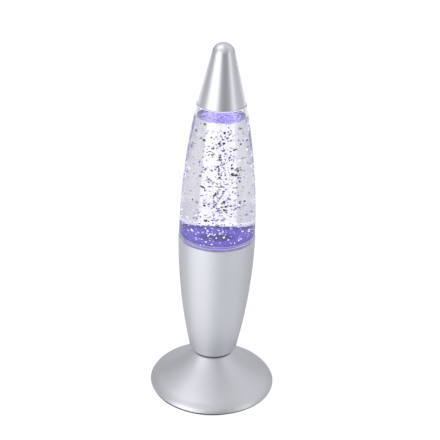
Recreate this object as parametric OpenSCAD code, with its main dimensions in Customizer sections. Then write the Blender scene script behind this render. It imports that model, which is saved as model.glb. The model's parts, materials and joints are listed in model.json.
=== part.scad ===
// Table-top glitter lamp. A clear tapered vessel of liquid and glitter stands between a
// silver cone cap and a silver body on a flared foot. Three cells in the foot feed a
// light board under the vessel, whose frosted plug spreads the light into the liquid.
// Sizes are in millimetres. The origin lies on the table under the middle of the foot,
// and +Z points up through the tip of the cap.

/* [Foot] */
// Gap between the table and the lower edge of the foot
foot_lift = 1; // [0.6:0.1:2]
// Height of the foot shell
foot_h = 33; // [31:0.5:45]
// Reach of the rim past the corners of the battery bay
foot_skirt = 20.7; // [19:0.1:30]
// Height of the upright lip at the rim
foot_lip_h = 1; // [0.8:0.1:2]
// Rounding between the lip and the flank
foot_edge_r = 0.8; // [0.4:0.1:1.2]
// Hollow of the flank under a straight line
foot_hollow = 1.2; // [0.3:0.1:2]
// Wall of the foot shell
foot_wall = 2.2; // [1.6:0.1:2.4]
// Thickness of the seat under the body
foot_seat_t = 2.6; // [2:0.1:4]
// Ledge of the seat outside the flat of the body
foot_land = 1.3; // [0.4:0.1:2]

/* [Body] */
// Height of the body shell
body_h = 106.5; // [85:0.5:140]
// Outer radius of the body at the foot
body_neck_r = 19.5; // [18:0.1:23]
// Outer radius of the body at its rim
body_rim_r = 31.3; // [28:0.1:38]
// Outward bulge of the body's flank
body_bulge = 2.8; // [1:0.1:5]
// Rounding of the body's lower edge
body_edge_r = 2.7; // [1:0.1:3]
// Wall of the body shell
body_wall = 2.6; // [2.4:0.1:3.2]
// Wall left around the vessel's seat
rim_wall = 2.1; // [1.6:0.1:2.3]
// Thickness of the body's floor
body_floor_t = 3; // [2:0.1:5]
// Outer radius of the spigot that centres the body in the foot
locator_r = 7; // [6:0.1:8]
// Wall of that spigot
locator_wall = 2.4; // [1.6:0.1:3]

/* [Vessel] */
// Height of the vessel from the body's rim to its shoulder
vessel_h = 112; // [85:1:140]
// Outer radius of the vessel at its shoulder
vessel_top_r = 19.3; // [18:0.1:23]
// Outward bulge of the vessel's flank
vessel_bulge = 2.9; // [1:0.1:5]
// Step in from the body's rim to the vessel
vessel_step = 0.4; // [0.2:0.1:1]
// Wall of the vessel
vessel_wall = 2; // [1.4:0.1:2.4]
// Rounding of the vessel's shoulder, outside
shoulder_r = 0.9; // [0.4:0.1:1.2]
// Rounding of the vessel's shoulder, inside
shoulder_in_r = 3; // [1:0.1:5]
// Depth of the vessel's spigot in the body
spigot_h = 12; // [10:0.5:18]
// Wall of the vessel's spigot
spigot_wall = 1.2; // [0.9:0.1:1.6]
// Height of the lit floor above the body's rim
floor_rise = 1.5; // [0.8:0.1:4]
// Outer radius of the vessel's neck
neck_r = 12.9; // [11:0.1:14]
// Wall of the neck
neck_wall = 2; // [1.4:0.1:3]
// Depth of the liquid's surface under the shoulder
fill_gap = 10; // [6:0.5:20]

/* [Plug and stopper] */
// Thickness of the frosted floor
plug_t = 3; // [2:0.1:4]
// Wall of the plug below its floor
plug_wall = 3.5; // [3:0.1:5]
// Thickness of the plug's flange
plug_flange_t = 2; // [1.5:0.1:3]
// Depth of the groove for the seal
groove_d = 1.3; // [1:0.1:1.8]
// Height of the seal's middle above the end of the spigot
seal_z = 4; // [3:0.1:6]
// Length of the stopper in the neck
stopper_l = 8; // [5:0.5:9]
// Thickness of the stopper's head
stopper_head_t = 2; // [1.5:0.1:2.5]

/* [Cap] */
// Height of the cap
cap_h = 47.5; // [40:0.5:60]
// Step in from the vessel's shoulder to the cap's rim
cap_inset = 0.5; // [0.1:0.1:0.8]
// Radius of the rounded tip
cap_tip_r = 9.1; // [7:0.1:11]
// Wall of the cap
cap_wall = 1.8; // [1.2:0.1:2.4]
// Wall of the sleeve that grips the neck
sleeve_wall = 1.4; // [1:0.1:1.8]
// Step up from the cap's rim to the sleeve
sleeve_lift = 1; // [0.6:0.1:3]
// Free height between the stopper and the narrowing cap
cap_room = 0.6; // [0.3:0.1:2]

/* [Glitter] */
// Number of flakes in the liquid
flake_count = 140; // [40:10:240]
// Radius of a flake across its corners
flake_r = 0.7; // [0.4:0.05:1]
// Thickness of a flake
flake_t = 0.15; // [0.1:0.05:0.3]
// Clear margin around the cloud of flakes
flake_margin = 1.2; // [1:0.1:3]
// Seed of the cloud of flakes
flake_seed = 7; // [1:1:99]

/* [Light board] */
// Drop from the plug's flange to the underside of the board
light_drop = 18; // [15:0.5:30]
// Thickness of the board
board_t = 1.6; // [1:0.1:2]
// Free edge around the board
board_gap = 0.8; // [0.5:0.1:1.5]
// Number of diodes
led_count = 3; // [2:1:5]
// Radius of a diode's dome
led_r = 2.5; // [1.5:0.1:3]
// Height of a diode
led_h = 8.6; // [7:0.1:10]
// Height of a diode's collar
led_collar_h = 1; // [0.6:0.1:1.5]
// Width of a diode's collar past its dome
led_collar_w = 0.4; // [0.2:0.1:0.6]
// Radius of the ring of diodes
led_ring_r = 7; // [6.5:0.1:8]
// Length of the controller chip
chip_l = 5; // [4:0.1:6]
// Width of the controller chip
chip_w = 4; // [3:0.1:4.5]
// Height of the controller chip
chip_h = 1.5; // [1:0.1:2]
// Wall of the reflector
reflector_wall = 1.2; // [0.8:0.1:1.6]
// Rim around the diodes at the foot of the reflector
reflector_rim = 1.1; // [0.6:0.1:2]
// Height of the flange at the top of the reflector
reflector_flange_h = 1.2; // [0.8:0.1:2]
// Radius of the screw columns under the board
column_r = 3; // [2.6:0.1:3.4]
// Distance from a column to the body's wall at the board
column_inset = 3.5; // [2:0.1:4]

/* [Battery bay] */
// Diameter of a cell
cell_d = 10.5; // [10:0.1:11.5]
// Length of a cell over its button
cell_l = 44.5; // [40:0.5:50]
// Radius of a cell's button
cell_button_r = 1.9; // [1.5:0.1:2.5]
// Height of a cell's button
cell_button_h = 0.9; // [0.6:0.1:1.4]
// Free space around each cell
cell_gap = 0.3; // [0.2:0.05:0.6]
// Wall of the bay
bay_wall = 1.4; // [1.2:0.1:1.8]
// Thickness of the contact plates
contact_t = 0.5; // [0.4:0.05:0.8]
// Width of a contact plate
contact_w = 8; // [7:0.1:9]
// Height of a contact plate
contact_h = 8.4; // [7:0.1:9]
// Width of a solder tab
tab_w = 2.4; // [1.6:0.1:3]
// Height of a solder tab over the bay
tab_h = 3.4; // [2.6:0.1:5]
// Radius of the dimple that meets a cell's button
dimple_r = 1.6; // [1:0.1:2]
// Height of that dimple
dimple_h = 0.6; // [0.4:0.1:1]
// Length of a spring
spring_l = 5.3; // [4.5:0.1:8]
// Radius of a spring's coil at the contact plate
spring_base_r = 3.4; // [3:0.1:4]
// Radius of a spring's coil at the cell
spring_tip_r = 1.8; // [1.4:0.1:2.4]
// Turns of a spring
spring_turns = 3; // [2:1:3]
// Radius of the spring wire
spring_wire_r = 0.3; // [0.25:0.05:0.35]

/* [Base plate and door] */
// Step up from the foot's lower edge to the plate
plate_inset = 0.4; // [0.2:0.1:1]
// Thickness of the plate
plate_t = 2; // [1.8:0.1:3]
// Thickness of the door
door_t = 1.8; // [1.4:0.1:1.8]
// Width of a door hook
hook_w = 6; // [4:0.1:10]
// Reach of a door hook over the plate
hook_reach = 2.4; // [1.8:0.1:3]
// Thickness of a door hook
hook_t = 1.2; // [1:0.1:1.4]
// Radius of the door's screw ear
ear_r = 4.2; // [3.8:0.1:5]
// Thickness of the door's screw ear
ear_t = 3.4; // [3:0.1:4]
// Radius of a rubber foot
pad_r = 4; // [3:0.1:5]
// Depth of a rubber foot in the plate
pad_seat = 0.6; // [0.4:0.1:1]
// Plate left outside a rubber foot
pad_edge = 0.8; // [0.5:0.1:2]
// Overlap of the door's ear with the edge of the opening
ear_bite = 0.4; // [0.2:0.1:0.8]
// Height of the boss over the door's ear
door_boss_h = 5; // [4:0.1:6]

/* [Switch] */
// Travel of the slider
switch_travel = 4; // [3:0.1:5]
// Length of the slider's grip
slider_l = 6; // [5:0.1:8]
// Width of the slider's grip
slider_w = 5; // [4:0.1:6]
// Grooves across the grip
slider_grooves = 3; // [2:1:4]
// Depth of the finger well
well_d = 2.5; // [2.2:0.1:3]
// Thickness of the well's floor
well_floor_t = 2; // [1.6:0.1:3]
// Length of the slider's stem
stem_l = 2.6; // [2:0.1:3.2]
// Width of the slider's stem
stem_w = 2.2; // [1.6:0.1:2.6]
// Step out from the stem to its head
head_step = 0.6; // [0.4:0.1:0.8]
// Height of the stem's head
head_h = 1.4; // [1:0.1:2]
// Rim of the block around the switch
block_rim = 1.2; // [0.8:0.1:2]
// Height of the switch's can
can_h = 4.8; // [4:0.1:6]
// Wall of the switch's can
can_wall = 0.8; // [0.6:0.1:1]
// Length of each mounting ear past the can
switch_ear_l = 5.4; // [5:0.1:7]
// Thickness of the mounting ears
switch_ear_t = 0.5; // [0.4:0.1:0.8]
// Height of the switch's terminals
terminal_h = 2.8; // [2:0.1:4]
// Width of the switch's terminals
terminal_w = 1.2; // [0.8:0.1:1.6]

/* [Screws and fits] */
// Screws in each ring, and rubber feet between the outer ones
ring_count = 3; // [3:1:4]
// Shank radius of the main screws
screw_r = 1.3; // [1.1:0.05:1.4]
// Length of the main screws
screw_l = 8; // [7:0.5:9]
// Length of the screws through the base plate
base_screw_l = 5.5; // [4.5:0.5:6]
// Length of the door's screw
door_screw_l = 3.6; // [3.2:0.1:4]
// Head radius of the main screws
screw_head_r = 2.5; // [2.2:0.1:2.8]
// Head height of the main screws
screw_head_h = 1.8; // [1.4:0.1:2]
// Wall of a cup around a sunk screw head
cup_wall = 1.2; // [1:0.1:1.6]
// Floor of that cup
cup_floor_t = 1.8; // [1.4:0.1:2.4]
// Wall of a screw boss
boss_wall = 1.7; // [1.4:0.1:2]
// Shank radius of the small screws
small_screw_r = 0.9; // [0.8:0.05:1]
// Length of the small screws
small_screw_l = 3.4; // [3:0.1:3.6]
// Head radius of the small screws
small_head_r = 1.8; // [1.6:0.1:2]
// Head height of the small screws
small_head_h = 1.2; // [1:0.1:1.4]
// Play of a screw in a clear hole
screw_play = 0.4; // [0.3:0.05:0.5]
// Play of the door's screw in its boss, which lets it swing out
door_screw_play = 0.35; // [0.3:0.05:0.4]
// Play between fitted pieces
fit = 0.2; // [0.15:0.05:0.3]
// Skin of play between bonded or sealed pieces
skin = 0.05; // [0.03:0.01:0.08]
// Play between a moving piece and what it passes
run_gap = 0.3; // [0.25:0.05:0.4]

/* [Leads] */
// Radius of the leads
lead_r = 0.7; // [0.5:0.05:0.8]

/* [Hidden] */
$fn = 96;
arc_fn = 256;
cell_count = 3;
eps = 0.01;

// Heights of the joints between the main pieces
z_foot = foot_lift;
z_neck = z_foot + foot_h;
z_seat_low = z_neck - foot_seat_t;
z_rim = z_neck + body_h;
z_shoulder = z_rim + vessel_h;
z_tip = z_shoulder + cap_h;

// Arcs are stored as [centre, radius] in the plane of radius and height. An arc runs
// from a low point to a high point and bulges away from the axis. A flare bends the
// other way, about a centre outside the piece.
function arc_radius(p, q, s) = (norm(q - p)^2 / 4 + s^2) / (2 * s);
function arc_normal(p, q) = [q[1] - p[1], p[0] - q[0]] / norm(q - p);
function arc(p, q, s) = [
    (p + q) / 2 - arc_normal(p, q) * (arc_radius(p, q, s) - s),
    arc_radius(p, q, s)
];
function arc_r(a, z, inset = 0) = a[0][0] + sqrt((a[1] - inset)^2 - (z - a[0][1])^2);
function flare(p, q, s) = [
    (p + q) / 2 + arc_normal(p, q) * (arc_radius(p, q, s) - s),
    arc_radius(p, q, s)
];
function flare_r(a, z, inset = 0) = a[0][0] - sqrt((a[1] + inset)^2 - (z - a[0][1])^2);
function flare_z(a, r, inset = 0) = a[0][1] - sqrt((a[1] + inset)^2 - (r - a[0][0])^2);
function polar(r, angle) = [r * cos(angle), r * sin(angle)];

// Body
body_arc = arc([body_neck_r, z_neck], [body_rim_r, z_rim], body_bulge);
body_edge_z = z_neck + body_edge_r;
body_flat_r = arc_r(body_arc, body_edge_z, body_edge_r);
seat_bore_r = body_rim_r - rim_wall;

// Vessel
vessel_base_r = body_rim_r - vessel_step;
vessel_arc = arc([vessel_base_r, z_rim], [vessel_top_r, z_shoulder], vessel_bulge);
z_spigot = z_rim - spigot_h;
z_floor = z_rim + floor_rise;
z_level = z_shoulder - fill_gap;
spigot_r = seat_bore_r - fit;
plug_bore_r = spigot_r - spigot_wall;
plug_r = plug_bore_r - skin;
z_flange = z_spigot - plug_flange_t;
z_seat = z_flange - fit;
groove_r = plug_r - groove_d;
groove_h = plug_bore_r - groove_r;

// Cap
cap_rim_r = vessel_top_r - cap_inset;
cap_tip_z = z_tip - cap_tip_r;
cap_slant = norm([cap_rim_r, cap_tip_z - z_shoulder]);
cap_lean = atan2(cap_rim_r, cap_tip_z - z_shoulder) - asin(cap_tip_r / cap_slant);
cap_in_r = cap_rim_r - cap_wall / cos(cap_lean);
sleeve_r = neck_r + fit;
z_sleeve_top = z_shoulder + (cap_in_r - sleeve_r) / tan(cap_lean);
z_neck_top = z_sleeve_top - stopper_head_t - cap_room;

// Light board
z_board = z_flange - light_drop;
z_board_top = z_board + board_t;
board_r = arc_r(body_arc, z_board, body_wall) - board_gap;
column_ring_r = arc_r(body_arc, z_board, body_wall) - column_inset - column_r;
reflector_low_r = led_ring_r + led_r + led_collar_w + reflector_rim;
reflector_top_r = arc_r(body_arc, z_seat - reflector_flange_h, body_wall) - 2 * fit;
reflector_cone_r = reflector_top_r - reflector_wall - fit;

// Battery bay: the cells lie along X, side by side along Y
cell_pitch = cell_d + cell_gap;
bay_l = cell_l + spring_l + dimple_h + 2 * contact_t;
bay_w = cell_count * cell_pitch + cell_gap;
bay_corner_r = norm([bay_l / 2 + bay_wall, bay_w / 2 + bay_wall]);
z_plate = z_foot + plate_inset;
z_plate_top = z_plate + plate_t;
z_cell = z_plate + door_t + cell_gap + cell_d / 2;
z_roof = z_cell + cell_d / 2 + cell_gap;
z_bay_top = z_roof + bay_wall;
opening = [bay_l + bay_wall, bay_w + bay_wall];
contact_x = bay_l / 2 - contact_t;
z_tab_top = z_bay_top + tab_h;
z_lead = z_bay_top + tab_h / 2;

// Foot
foot_rim_r = bay_corner_r + foot_skirt;
foot_top_r = body_flat_r + foot_land;
foot_low = [foot_rim_r, z_foot + foot_lip_h];
foot_high = [foot_top_r, z_neck];
// Depth that the battery bay leaves for the hollow of the flank
bay_corner = [bay_corner_r, z_bay_top];
foot_room = (foot_low - bay_corner) * arc_normal(foot_low, foot_high) - foot_wall - fit;
foot_flare = flare(foot_low, foot_high, max(0.1, min(foot_hollow, foot_room)));
foot_edge_c_r = foot_rim_r - foot_edge_r;
foot_edge_c_z = flare_z(foot_flare, foot_edge_c_r, foot_edge_r);
foot_lip_in_r = foot_rim_r - foot_wall;
plate_r = min(foot_lip_in_r, flare_r(foot_flare, z_plate_top, foot_wall)) - fit;
plate_low_r = min(foot_lip_in_r, flare_r(foot_flare, z_plate, foot_wall)) - fit;

// Screws
boss_r = screw_r + boss_wall;
head_clear_r = screw_head_r + screw_play;
cup_h = screw_head_h + screw_play;
cup_r = head_clear_r + cup_wall;
z_cup = z_plate + cup_h;
z_boss = z_cup + cup_floor_t;
base_pilot_h = base_screw_l - cup_floor_t + run_gap;
base_screw_ring_r = min(
    flare_r(foot_flare, z_boss, foot_wall) - cup_r - fit,
    flare_r(foot_flare, z_boss + base_pilot_h, foot_wall) - screw_r
);
neck_screw_ring_r = (body_flat_r + locator_r) / 2;
pad_ring_r = plate_r - pad_r - pad_edge;
z_ear_top = z_plate + ear_t;
z_door_boss = z_ear_top + fit;
door_screw_y = opening[1] / 2 + ear_r - ear_bite;
z_door_head = z_plate + cup_h;

// Switch
z_well = z_plate + well_d;
z_switch = z_well + well_floor_t;
well_l = slider_l + switch_travel + 4 * run_gap;
well_w = slider_w + 4 * run_gap;
slot_l = stem_l + switch_travel + 2 * run_gap;
slot_w = stem_w + 2 * run_gap;
head_l = stem_l + head_step;
head_w = stem_w + 2 * head_step;
cavity_l = head_l + switch_travel + 2 * run_gap;
cavity_w = head_w + 2 * run_gap;
can_l = cavity_l + 2 * can_wall;
can_w = cavity_w + 2 * can_wall;
switch_l = can_l + 2 * switch_ear_l;
switch_screw_x = can_l / 2 + switch_ear_l / 2;
z_can = z_switch + switch_ear_t;
z_can_top = z_can + can_h;
block_l = switch_l + 2 * block_rim;
block_w = max(can_w, well_w + 2 * block_rim) + 2 * block_rim;
switch_y = -(opening[1] / 2 + hook_reach + 4 * run_gap + block_w / 2);
slider_x = switch_travel / 2;
terminal_x = can_l / 2 - terminal_w;

// Turned outline between an arc and the axis
module arc_band(a, inset, z0, z1) {
    intersection() {
        translate(a[0]) circle(a[1] - inset, $fn = arc_fn);
        translate([0, z0]) square([foot_rim_r, z1 - z0]);
    }
}

// Turned outline of the foot under its flare, out to radius r1
module flare_band(inset, r1, z0, z1) {
    difference() {
        band(0, r1, z0, z1);
        translate(foot_flare[0]) circle(foot_flare[1] + inset, $fn = arc_fn);
    }
}

// Ring-shaped outline from r0 to r1 and from z0 to z1
module band(r0, r1, z0, z1) {
    translate([r0, z0]) square([r1 - r0, z1 - z0]);
}

// Rounds the corner of a child outline with an arc about c, from angle a0 to angle a1
module round_corner(c, r, a0, a1) {
    reach = 3 * r;
    half = (a1 - a0) / 2;
    corner = c + polar(reach / cos(half), a0 + half);
    wedge = [c, c + polar(reach, a0), corner, c + polar(reach, a1)];
    difference() {
        children();
        polygon(wedge);
    }
    intersection() {
        translate(c) circle(r);
        polygon(wedge);
    }
}

// Copies of a child at equal angles on a ring
module ring_of(n, r, start = 0) {
    for (i = [0 : n - 1]) rotate(start + i * 360 / n) translate([r, 0, 0]) children();
}

module box(size, low) {
    translate([-size[0] / 2, -size[1] / 2, low]) cube(size);
}

// Pan-head screw with a cross recess. It points up, with its head under z = 0.
module screw(r, l, head_r, head_h) {
    recess = [head_r * 1.2, head_r * 0.25, head_h * 0.5];
    translate([0, 0, -head_h / 3]) cylinder(r = r, h = l + head_h / 3);
    difference() {
        translate([0, 0, -head_h]) cylinder(r = head_r, h = head_h);
        for (turn = [0, 90]) rotate(turn) box(recess + [0, 0, eps], -head_h - eps);
    }
}

module main_screw(l = screw_l) {
    screw(screw_r, l, screw_head_r, screw_head_h);
}

// Tube of n sides along a path, with its end faces square to the first and last steps
function unit(v) = v / norm(v);
function tangents(p) = [
    for (i = [0 : len(p) - 1])
        let (a = i > 0 ? unit(p[i] - p[i - 1]) : unit(p[1] - p[0]))
        let (b = i < len(p) - 1 ? unit(p[i + 1] - p[i]) : a)
        unit(a + b)
];
function across(v, t) = unit(v - (v * t) * t);
function side_vectors(t, v, i = 0, out = []) =
    i == len(t) ? out
    : let (u = across(v, t[i])) side_vectors(t, u, i + 1, concat(out, [u]));
module tube(path, r, sides, first_side) {
    t = tangents(path);
    u = side_vectors(t, first_side);
    rings = len(path);
    points = [
        for (i = [0 : rings - 1], k = [0 : sides - 1])
            let (a = 360 * k / sides)
            path[i] + r * (cos(a) * u[i] + sin(a) * cross(t[i], u[i]))
    ];
    walls = [
        for (i = [0 : rings - 2], k = [0 : sides - 1])
            let (a = i * sides + k, b = i * sides + (k + 1) % sides)
            each [[a, a + sides, b], [b, a + sides, b + sides]]
    ];
    last = (rings - 1) * sides;
    ends = [
        for (k = [1 : sides - 2])
            each [[0, k, k + 1], [last, last + k + 1, last + k]]
    ];
    polyhedron(points, concat(walls, ends), convexity = 8);
}

// Smooth route through hand-placed points, straight in its first and last stretches
function spline(p0, p1, p2, p3, t) =
    0.5 * (2 * p1 + (p2 - p0) * t + (2 * p0 - 5 * p1 + 4 * p2 - p3) * t^2
    + (3 * p1 - p0 - 3 * p2 + p3) * t^3);
function route(p, steps) = concat(
    [p[0]],
    [
        for (i = [1 : len(p) - 3], k = [0 : steps - 1])
            spline(p[i - 1], p[i], p[i + 1], p[i + 2], k / steps)
    ],
    [p[len(p) - 2], p[len(p) - 1]]
);

module cap_outline(inset) {
    r = cap_tip_r - inset;
    low_r = cap_rim_r - inset / cos(cap_lean);
    touch = [0, cap_tip_z] + polar(r, cap_lean);
    polygon([[0, z_shoulder], [low_r, z_shoulder], touch, [0, touch[1]]]);
    intersection() {
        translate([0, cap_tip_z]) circle(r);
        translate([0, touch[1]]) square(cap_tip_r);
    }
}

module cap() {
    color("silver") rotate_extrude() {
        difference() {
            cap_outline(0);
            translate([0, -eps]) cap_outline(cap_wall);
        }
        intersection() {
            cap_outline(cap_wall / 2);
            band(sleeve_r, sleeve_r + sleeve_wall, z_shoulder + sleeve_lift, z_sleeve_top);
        }
    }
}

module stopper() {
    color("dimgray") rotate_extrude() {
        band(0, neck_r - neck_wall - skin, z_neck_top - stopper_l, z_neck_top);
        band(0, neck_r - fit, z_neck_top, z_neck_top + stopper_head_t);
    }
}

// Solid outline of the vessel's flank, with its shoulder edge rounded
module vessel_flank(inset, z0, z1, edge_r) {
    z = z1 - edge_r;
    c = [arc_r(vessel_arc, z, inset + edge_r), z];
    slope = atan2(c[1] - vessel_arc[0][1], c[0] - vessel_arc[0][0]);
    round_corner(c, edge_r, slope, 90) arc_band(vessel_arc, inset, z0, z1);
}

module vessel() {
    neck_bore_r = neck_r - neck_wall;
    color("aliceblue", 0.3) rotate_extrude() difference() {
        union() {
            vessel_flank(0, z_rim, z_shoulder, shoulder_r);
            band(0, spigot_r, z_spigot, z_rim + eps);
            band(0, neck_r, z_shoulder - vessel_wall, z_neck_top);
        }
        vessel_flank(vessel_wall, z_floor, z_shoulder - vessel_wall, shoulder_in_r);
        band(0, plug_bore_r, z_spigot - eps, z_floor + eps);
        band(0, neck_bore_r, z_shoulder - vessel_wall - eps, z_neck_top + eps);
    }
}

module liquid() {
    color("lavender", 0.4) rotate_extrude() {
        arc_band(vessel_arc, vessel_wall + skin, z_floor, z_level);
    }
}

// Loose cloud of flakes, denser towards the wall as flakes drift outward
module glitter_flakes() {
    spread = rands(0, 1, 6 * flake_count, flake_seed);
    low = z_floor + flake_margin;
    high = z_level - flake_margin;
    color("slateblue") for (i = [0 : flake_count - 1]) {
        draw = [for (k = [0 : 5]) spread[6 * i + k]];
        z = low + (high - low) * draw[0];
        r = (arc_r(vessel_arc, z, vessel_wall) - flake_margin) * sqrt(draw[1]);
        translate([0, 0, z]) rotate(360 * draw[2]) translate([r, 0, 0])
            rotate([180 * draw[3], 180 * draw[4], 60 * draw[5]])
                cylinder(r = flake_r, h = flake_t, center = true, $fn = 6);
    }
}

module vessel_plug() {
    color("white") rotate_extrude() difference() {
        union() {
            band(0, plug_r, z_flange, z_floor);
            band(0, spigot_r, z_flange, z_spigot);
        }
        band(0, plug_r - plug_wall, z_flange - eps, z_floor - plug_t);
        band(groove_r, plug_r + eps, z_spigot + seal_z - groove_h / 2,
            z_spigot + seal_z + groove_h / 2);
    }
}

module plug_seal() {
    color("dimgray") rotate_extrude()
        translate([groove_r + groove_h / 2, z_spigot + seal_z])
            circle(groove_h / 2 - skin);
}

module reflector() {
    top = z_seat - fit;
    color("whitesmoke") rotate_extrude() {
        polygon([
            [reflector_low_r, z_board_top],
            [reflector_low_r + reflector_wall, z_board_top],
            [reflector_cone_r + reflector_wall, top],
            [reflector_cone_r, top]
        ]);
        band(reflector_cone_r, reflector_top_r, top - reflector_flange_h, top);
    }
}

module light_board() {
    color("darkgreen") difference() {
        translate([0, 0, z_board]) cylinder(r = board_r, h = board_t);
        ring_of(ring_count, column_ring_r, 90)
            translate([0, 0, z_board - eps])
                cylinder(r = screw_r + screw_play, h = board_t + 2 * eps);
    }
}

module diodes() {
    dome_z = z_board_top + led_h - led_r;
    color("mediumpurple") ring_of(led_count, led_ring_r, 90) {
        translate([0, 0, z_board_top]) cylinder(r = led_r + led_collar_w, h = led_collar_h);
        translate([0, 0, z_board_top]) cylinder(r = led_r, h = led_h - led_r);
        translate([0, 0, dome_z]) sphere(led_r);
    }
}

module board_chip() {
    color("black") box([chip_l, chip_w, chip_h], z_board_top);
}

module board_screws() {
    color("gainsboro") ring_of(ring_count, column_ring_r, 90)
        translate([0, 0, z_board_top]) mirror([0, 0, 1]) main_screw();
}

// Solid outline of the body, with its lower edge rounded
module body_outline() {
    c = [body_flat_r, body_edge_z];
    slope = atan2(c[1] - body_arc[0][1], c[0] - body_arc[0][0]);
    round_corner(c, body_edge_r, -90, slope) arc_band(body_arc, 0, z_neck, z_rim);
}

module body_shell() {
    pilot_r = screw_r + skin;
    color("silver") difference() {
        rotate_extrude() {
            body_outline();
            band(0, locator_r, z_seat_low, z_neck + eps);
        }
        difference() {
            rotate_extrude() {
                arc_band(body_arc, body_wall, z_neck + body_floor_t, z_rim + eps);
                band(0, seat_bore_r, z_seat, z_rim + eps);
            }
            ring_of(ring_count, column_ring_r, 90)
                translate([0, 0, z_neck]) cylinder(r = column_r, h = z_board - z_neck);
            ring_of(ring_count, neck_screw_ring_r, 30)
                translate([0, 0, z_neck]) cylinder(r = boss_r, h = screw_l + boss_wall);
        }
        translate([0, 0, z_seat_low - eps])
            cylinder(r = locator_r - locator_wall, h = foot_seat_t + body_floor_t + 2 * eps);
        ring_of(ring_count, column_ring_r, 90)
            translate([0, 0, z_board - screw_l]) cylinder(r = pilot_r, h = screw_l + eps);
        ring_of(ring_count, neck_screw_ring_r, 30)
            translate([0, 0, z_neck - eps]) cylinder(r = pilot_r, h = screw_l);
    }
}

module neck_screws() {
    color("gainsboro") ring_of(ring_count, neck_screw_ring_r, 30)
        translate([0, 0, z_seat_low]) main_screw();
}

// Solid outline of the foot, with its rim edge rounded
module foot_outline() {
    c = [foot_edge_c_r, foot_edge_c_z];
    slope = atan2(foot_flare[0][1] - c[1], foot_flare[0][0] - c[0]);
    round_corner(c, foot_edge_r, 0, slope) flare_band(0, foot_rim_r, z_foot, z_neck);
}

module foot_shell() {
    color("silver") difference() {
        rotate_extrude() foot_outline();
        difference() {
            rotate_extrude() flare_band(foot_wall, foot_lip_in_r, z_foot - eps, z_seat_low);
            ring_of(ring_count, base_screw_ring_r, 90)
                translate([0, 0, z_boss]) cylinder(r = boss_r, h = foot_h);
        }
        translate([0, 0, z_seat_low - eps])
            cylinder(r = locator_r + skin, h = foot_seat_t + 2 * eps);
        ring_of(ring_count, neck_screw_ring_r, 30)
            translate([0, 0, z_seat_low - eps])
                cylinder(r = screw_r + screw_play, h = foot_seat_t + 2 * eps);
        ring_of(ring_count, base_screw_ring_r, 90)
            translate([0, 0, z_boss - eps])
                cylinder(r = screw_r + skin, h = base_pilot_h + eps);
    }
}

// Box of the battery bay, open below
module bay() {
    outer = [bay_l + 2 * bay_wall, bay_w + 2 * bay_wall, z_bay_top - z_plate_top];
    inner = [bay_l, bay_w, z_roof - z_plate_top];
    notch = [hook_w + 4 * run_gap, 4 * bay_wall, hook_reach + hook_t];
    slot = [contact_t + fit, tab_w + 2 * fit, 3 * bay_wall];
    difference() {
        union() {
            box(outer, z_plate_top);
            translate([0, door_screw_y, 0])
                box([2 * ear_r, 2 * ear_r, door_boss_h], z_door_boss);
        }
        box(inner + [0, 0, eps], z_plate_top - eps);
        for (side = [-1, 1])
            translate([side * opening[0] / 4, -bay_w / 2 - bay_wall, 0]) box(notch, z_plate_top - eps);
        for (end = [[-1, -1], [1, 1]])
            translate([
                end[0] * (bay_l / 2 - slot[0] / 2),
                end[1] * cell_pitch,
                0
            ]) box(slot, z_roof - bay_wall);
    }
}

module base_plate() {
    ear_clear = 2 * (ear_r + fit);
    color("gainsboro") difference() {
        union() {
            translate([0, 0, z_plate]) cylinder(r1 = plate_low_r, r2 = plate_r, h = plate_t);
            ring_of(ring_count, base_screw_ring_r, 90)
                translate([0, 0, z_plate]) cylinder(r = cup_r, h = z_boss - z_plate);
            translate([0, switch_y, 0]) box([block_l, block_w, z_switch - z_plate], z_plate);
            bay();
        }
        box([opening[0], opening[1], plate_t + eps], z_plate - eps);
        translate([0, opening[1] / 2, 0])
            box([ear_clear, 2 * (door_screw_y - opening[1] / 2), plate_t + 2 * eps], z_plate - eps);
        translate([0, door_screw_y, z_plate - eps])
            cylinder(r = ear_clear / 2, h = z_door_boss - z_plate + eps);
        translate([0, door_screw_y, z_door_boss - eps])
            cylinder(r = small_screw_r + door_screw_play, h = door_boss_h - boss_wall);
        ring_of(ring_count, base_screw_ring_r, 90) translate([0, 0, z_plate - eps]) {
            cylinder(r = head_clear_r, h = cup_h + eps);
            cylinder(r = screw_r + screw_play, h = z_boss - z_plate + 2 * eps);
        }
        ring_of(ring_count, pad_ring_r, 30)
            translate([0, 0, z_plate - eps]) cylinder(r = pad_r + fit, h = pad_seat + eps);
        translate([0, switch_y, 0]) {
            box([well_l, well_w, well_d + eps], z_plate - eps);
            box([slot_l, slot_w, well_floor_t + 2 * eps], z_well - eps);
            for (side = [-1, 1])
                translate([side * switch_screw_x, 0, z_switch - small_screw_l - eps])
                    cylinder(r = small_screw_r + skin, h = small_screw_l + 2 * eps);
        }
    }
}

module base_screws() {
    color("gainsboro") ring_of(ring_count, base_screw_ring_r, 90)
        translate([0, 0, z_cup]) main_screw(base_screw_l);
}

module rubber_feet() {
    color("dimgray") ring_of(ring_count, pad_ring_r, 30)
        cylinder(r = pad_r, h = z_plate + pad_seat);
}

// Turns a child end for end where a cell lies the other way round
module cell_place(i) {
    translate([0, (i - (cell_count - 1) / 2) * cell_pitch, z_cell])
        rotate(i % 2 == 0 ? 0 : 180) children();
}

module battery_cells() {
    button_x = contact_x - dimple_h;
    can_end = button_x - cell_button_h;
    color("slategray") for (i = [0 : cell_count - 1]) cell_place(i) rotate([0, 90, 0]) {
        translate([0, 0, button_x - cell_l])
            cylinder(r = cell_d / 2, h = cell_l - cell_button_h);
        translate([0, 0, can_end - eps]) cylinder(r = cell_button_r, h = cell_button_h + eps);
    }
}

module contact_plate(w) {
    translate([contact_x, -w / 2, -contact_h / 2]) cube([contact_t, w, contact_h]);
}

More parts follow.
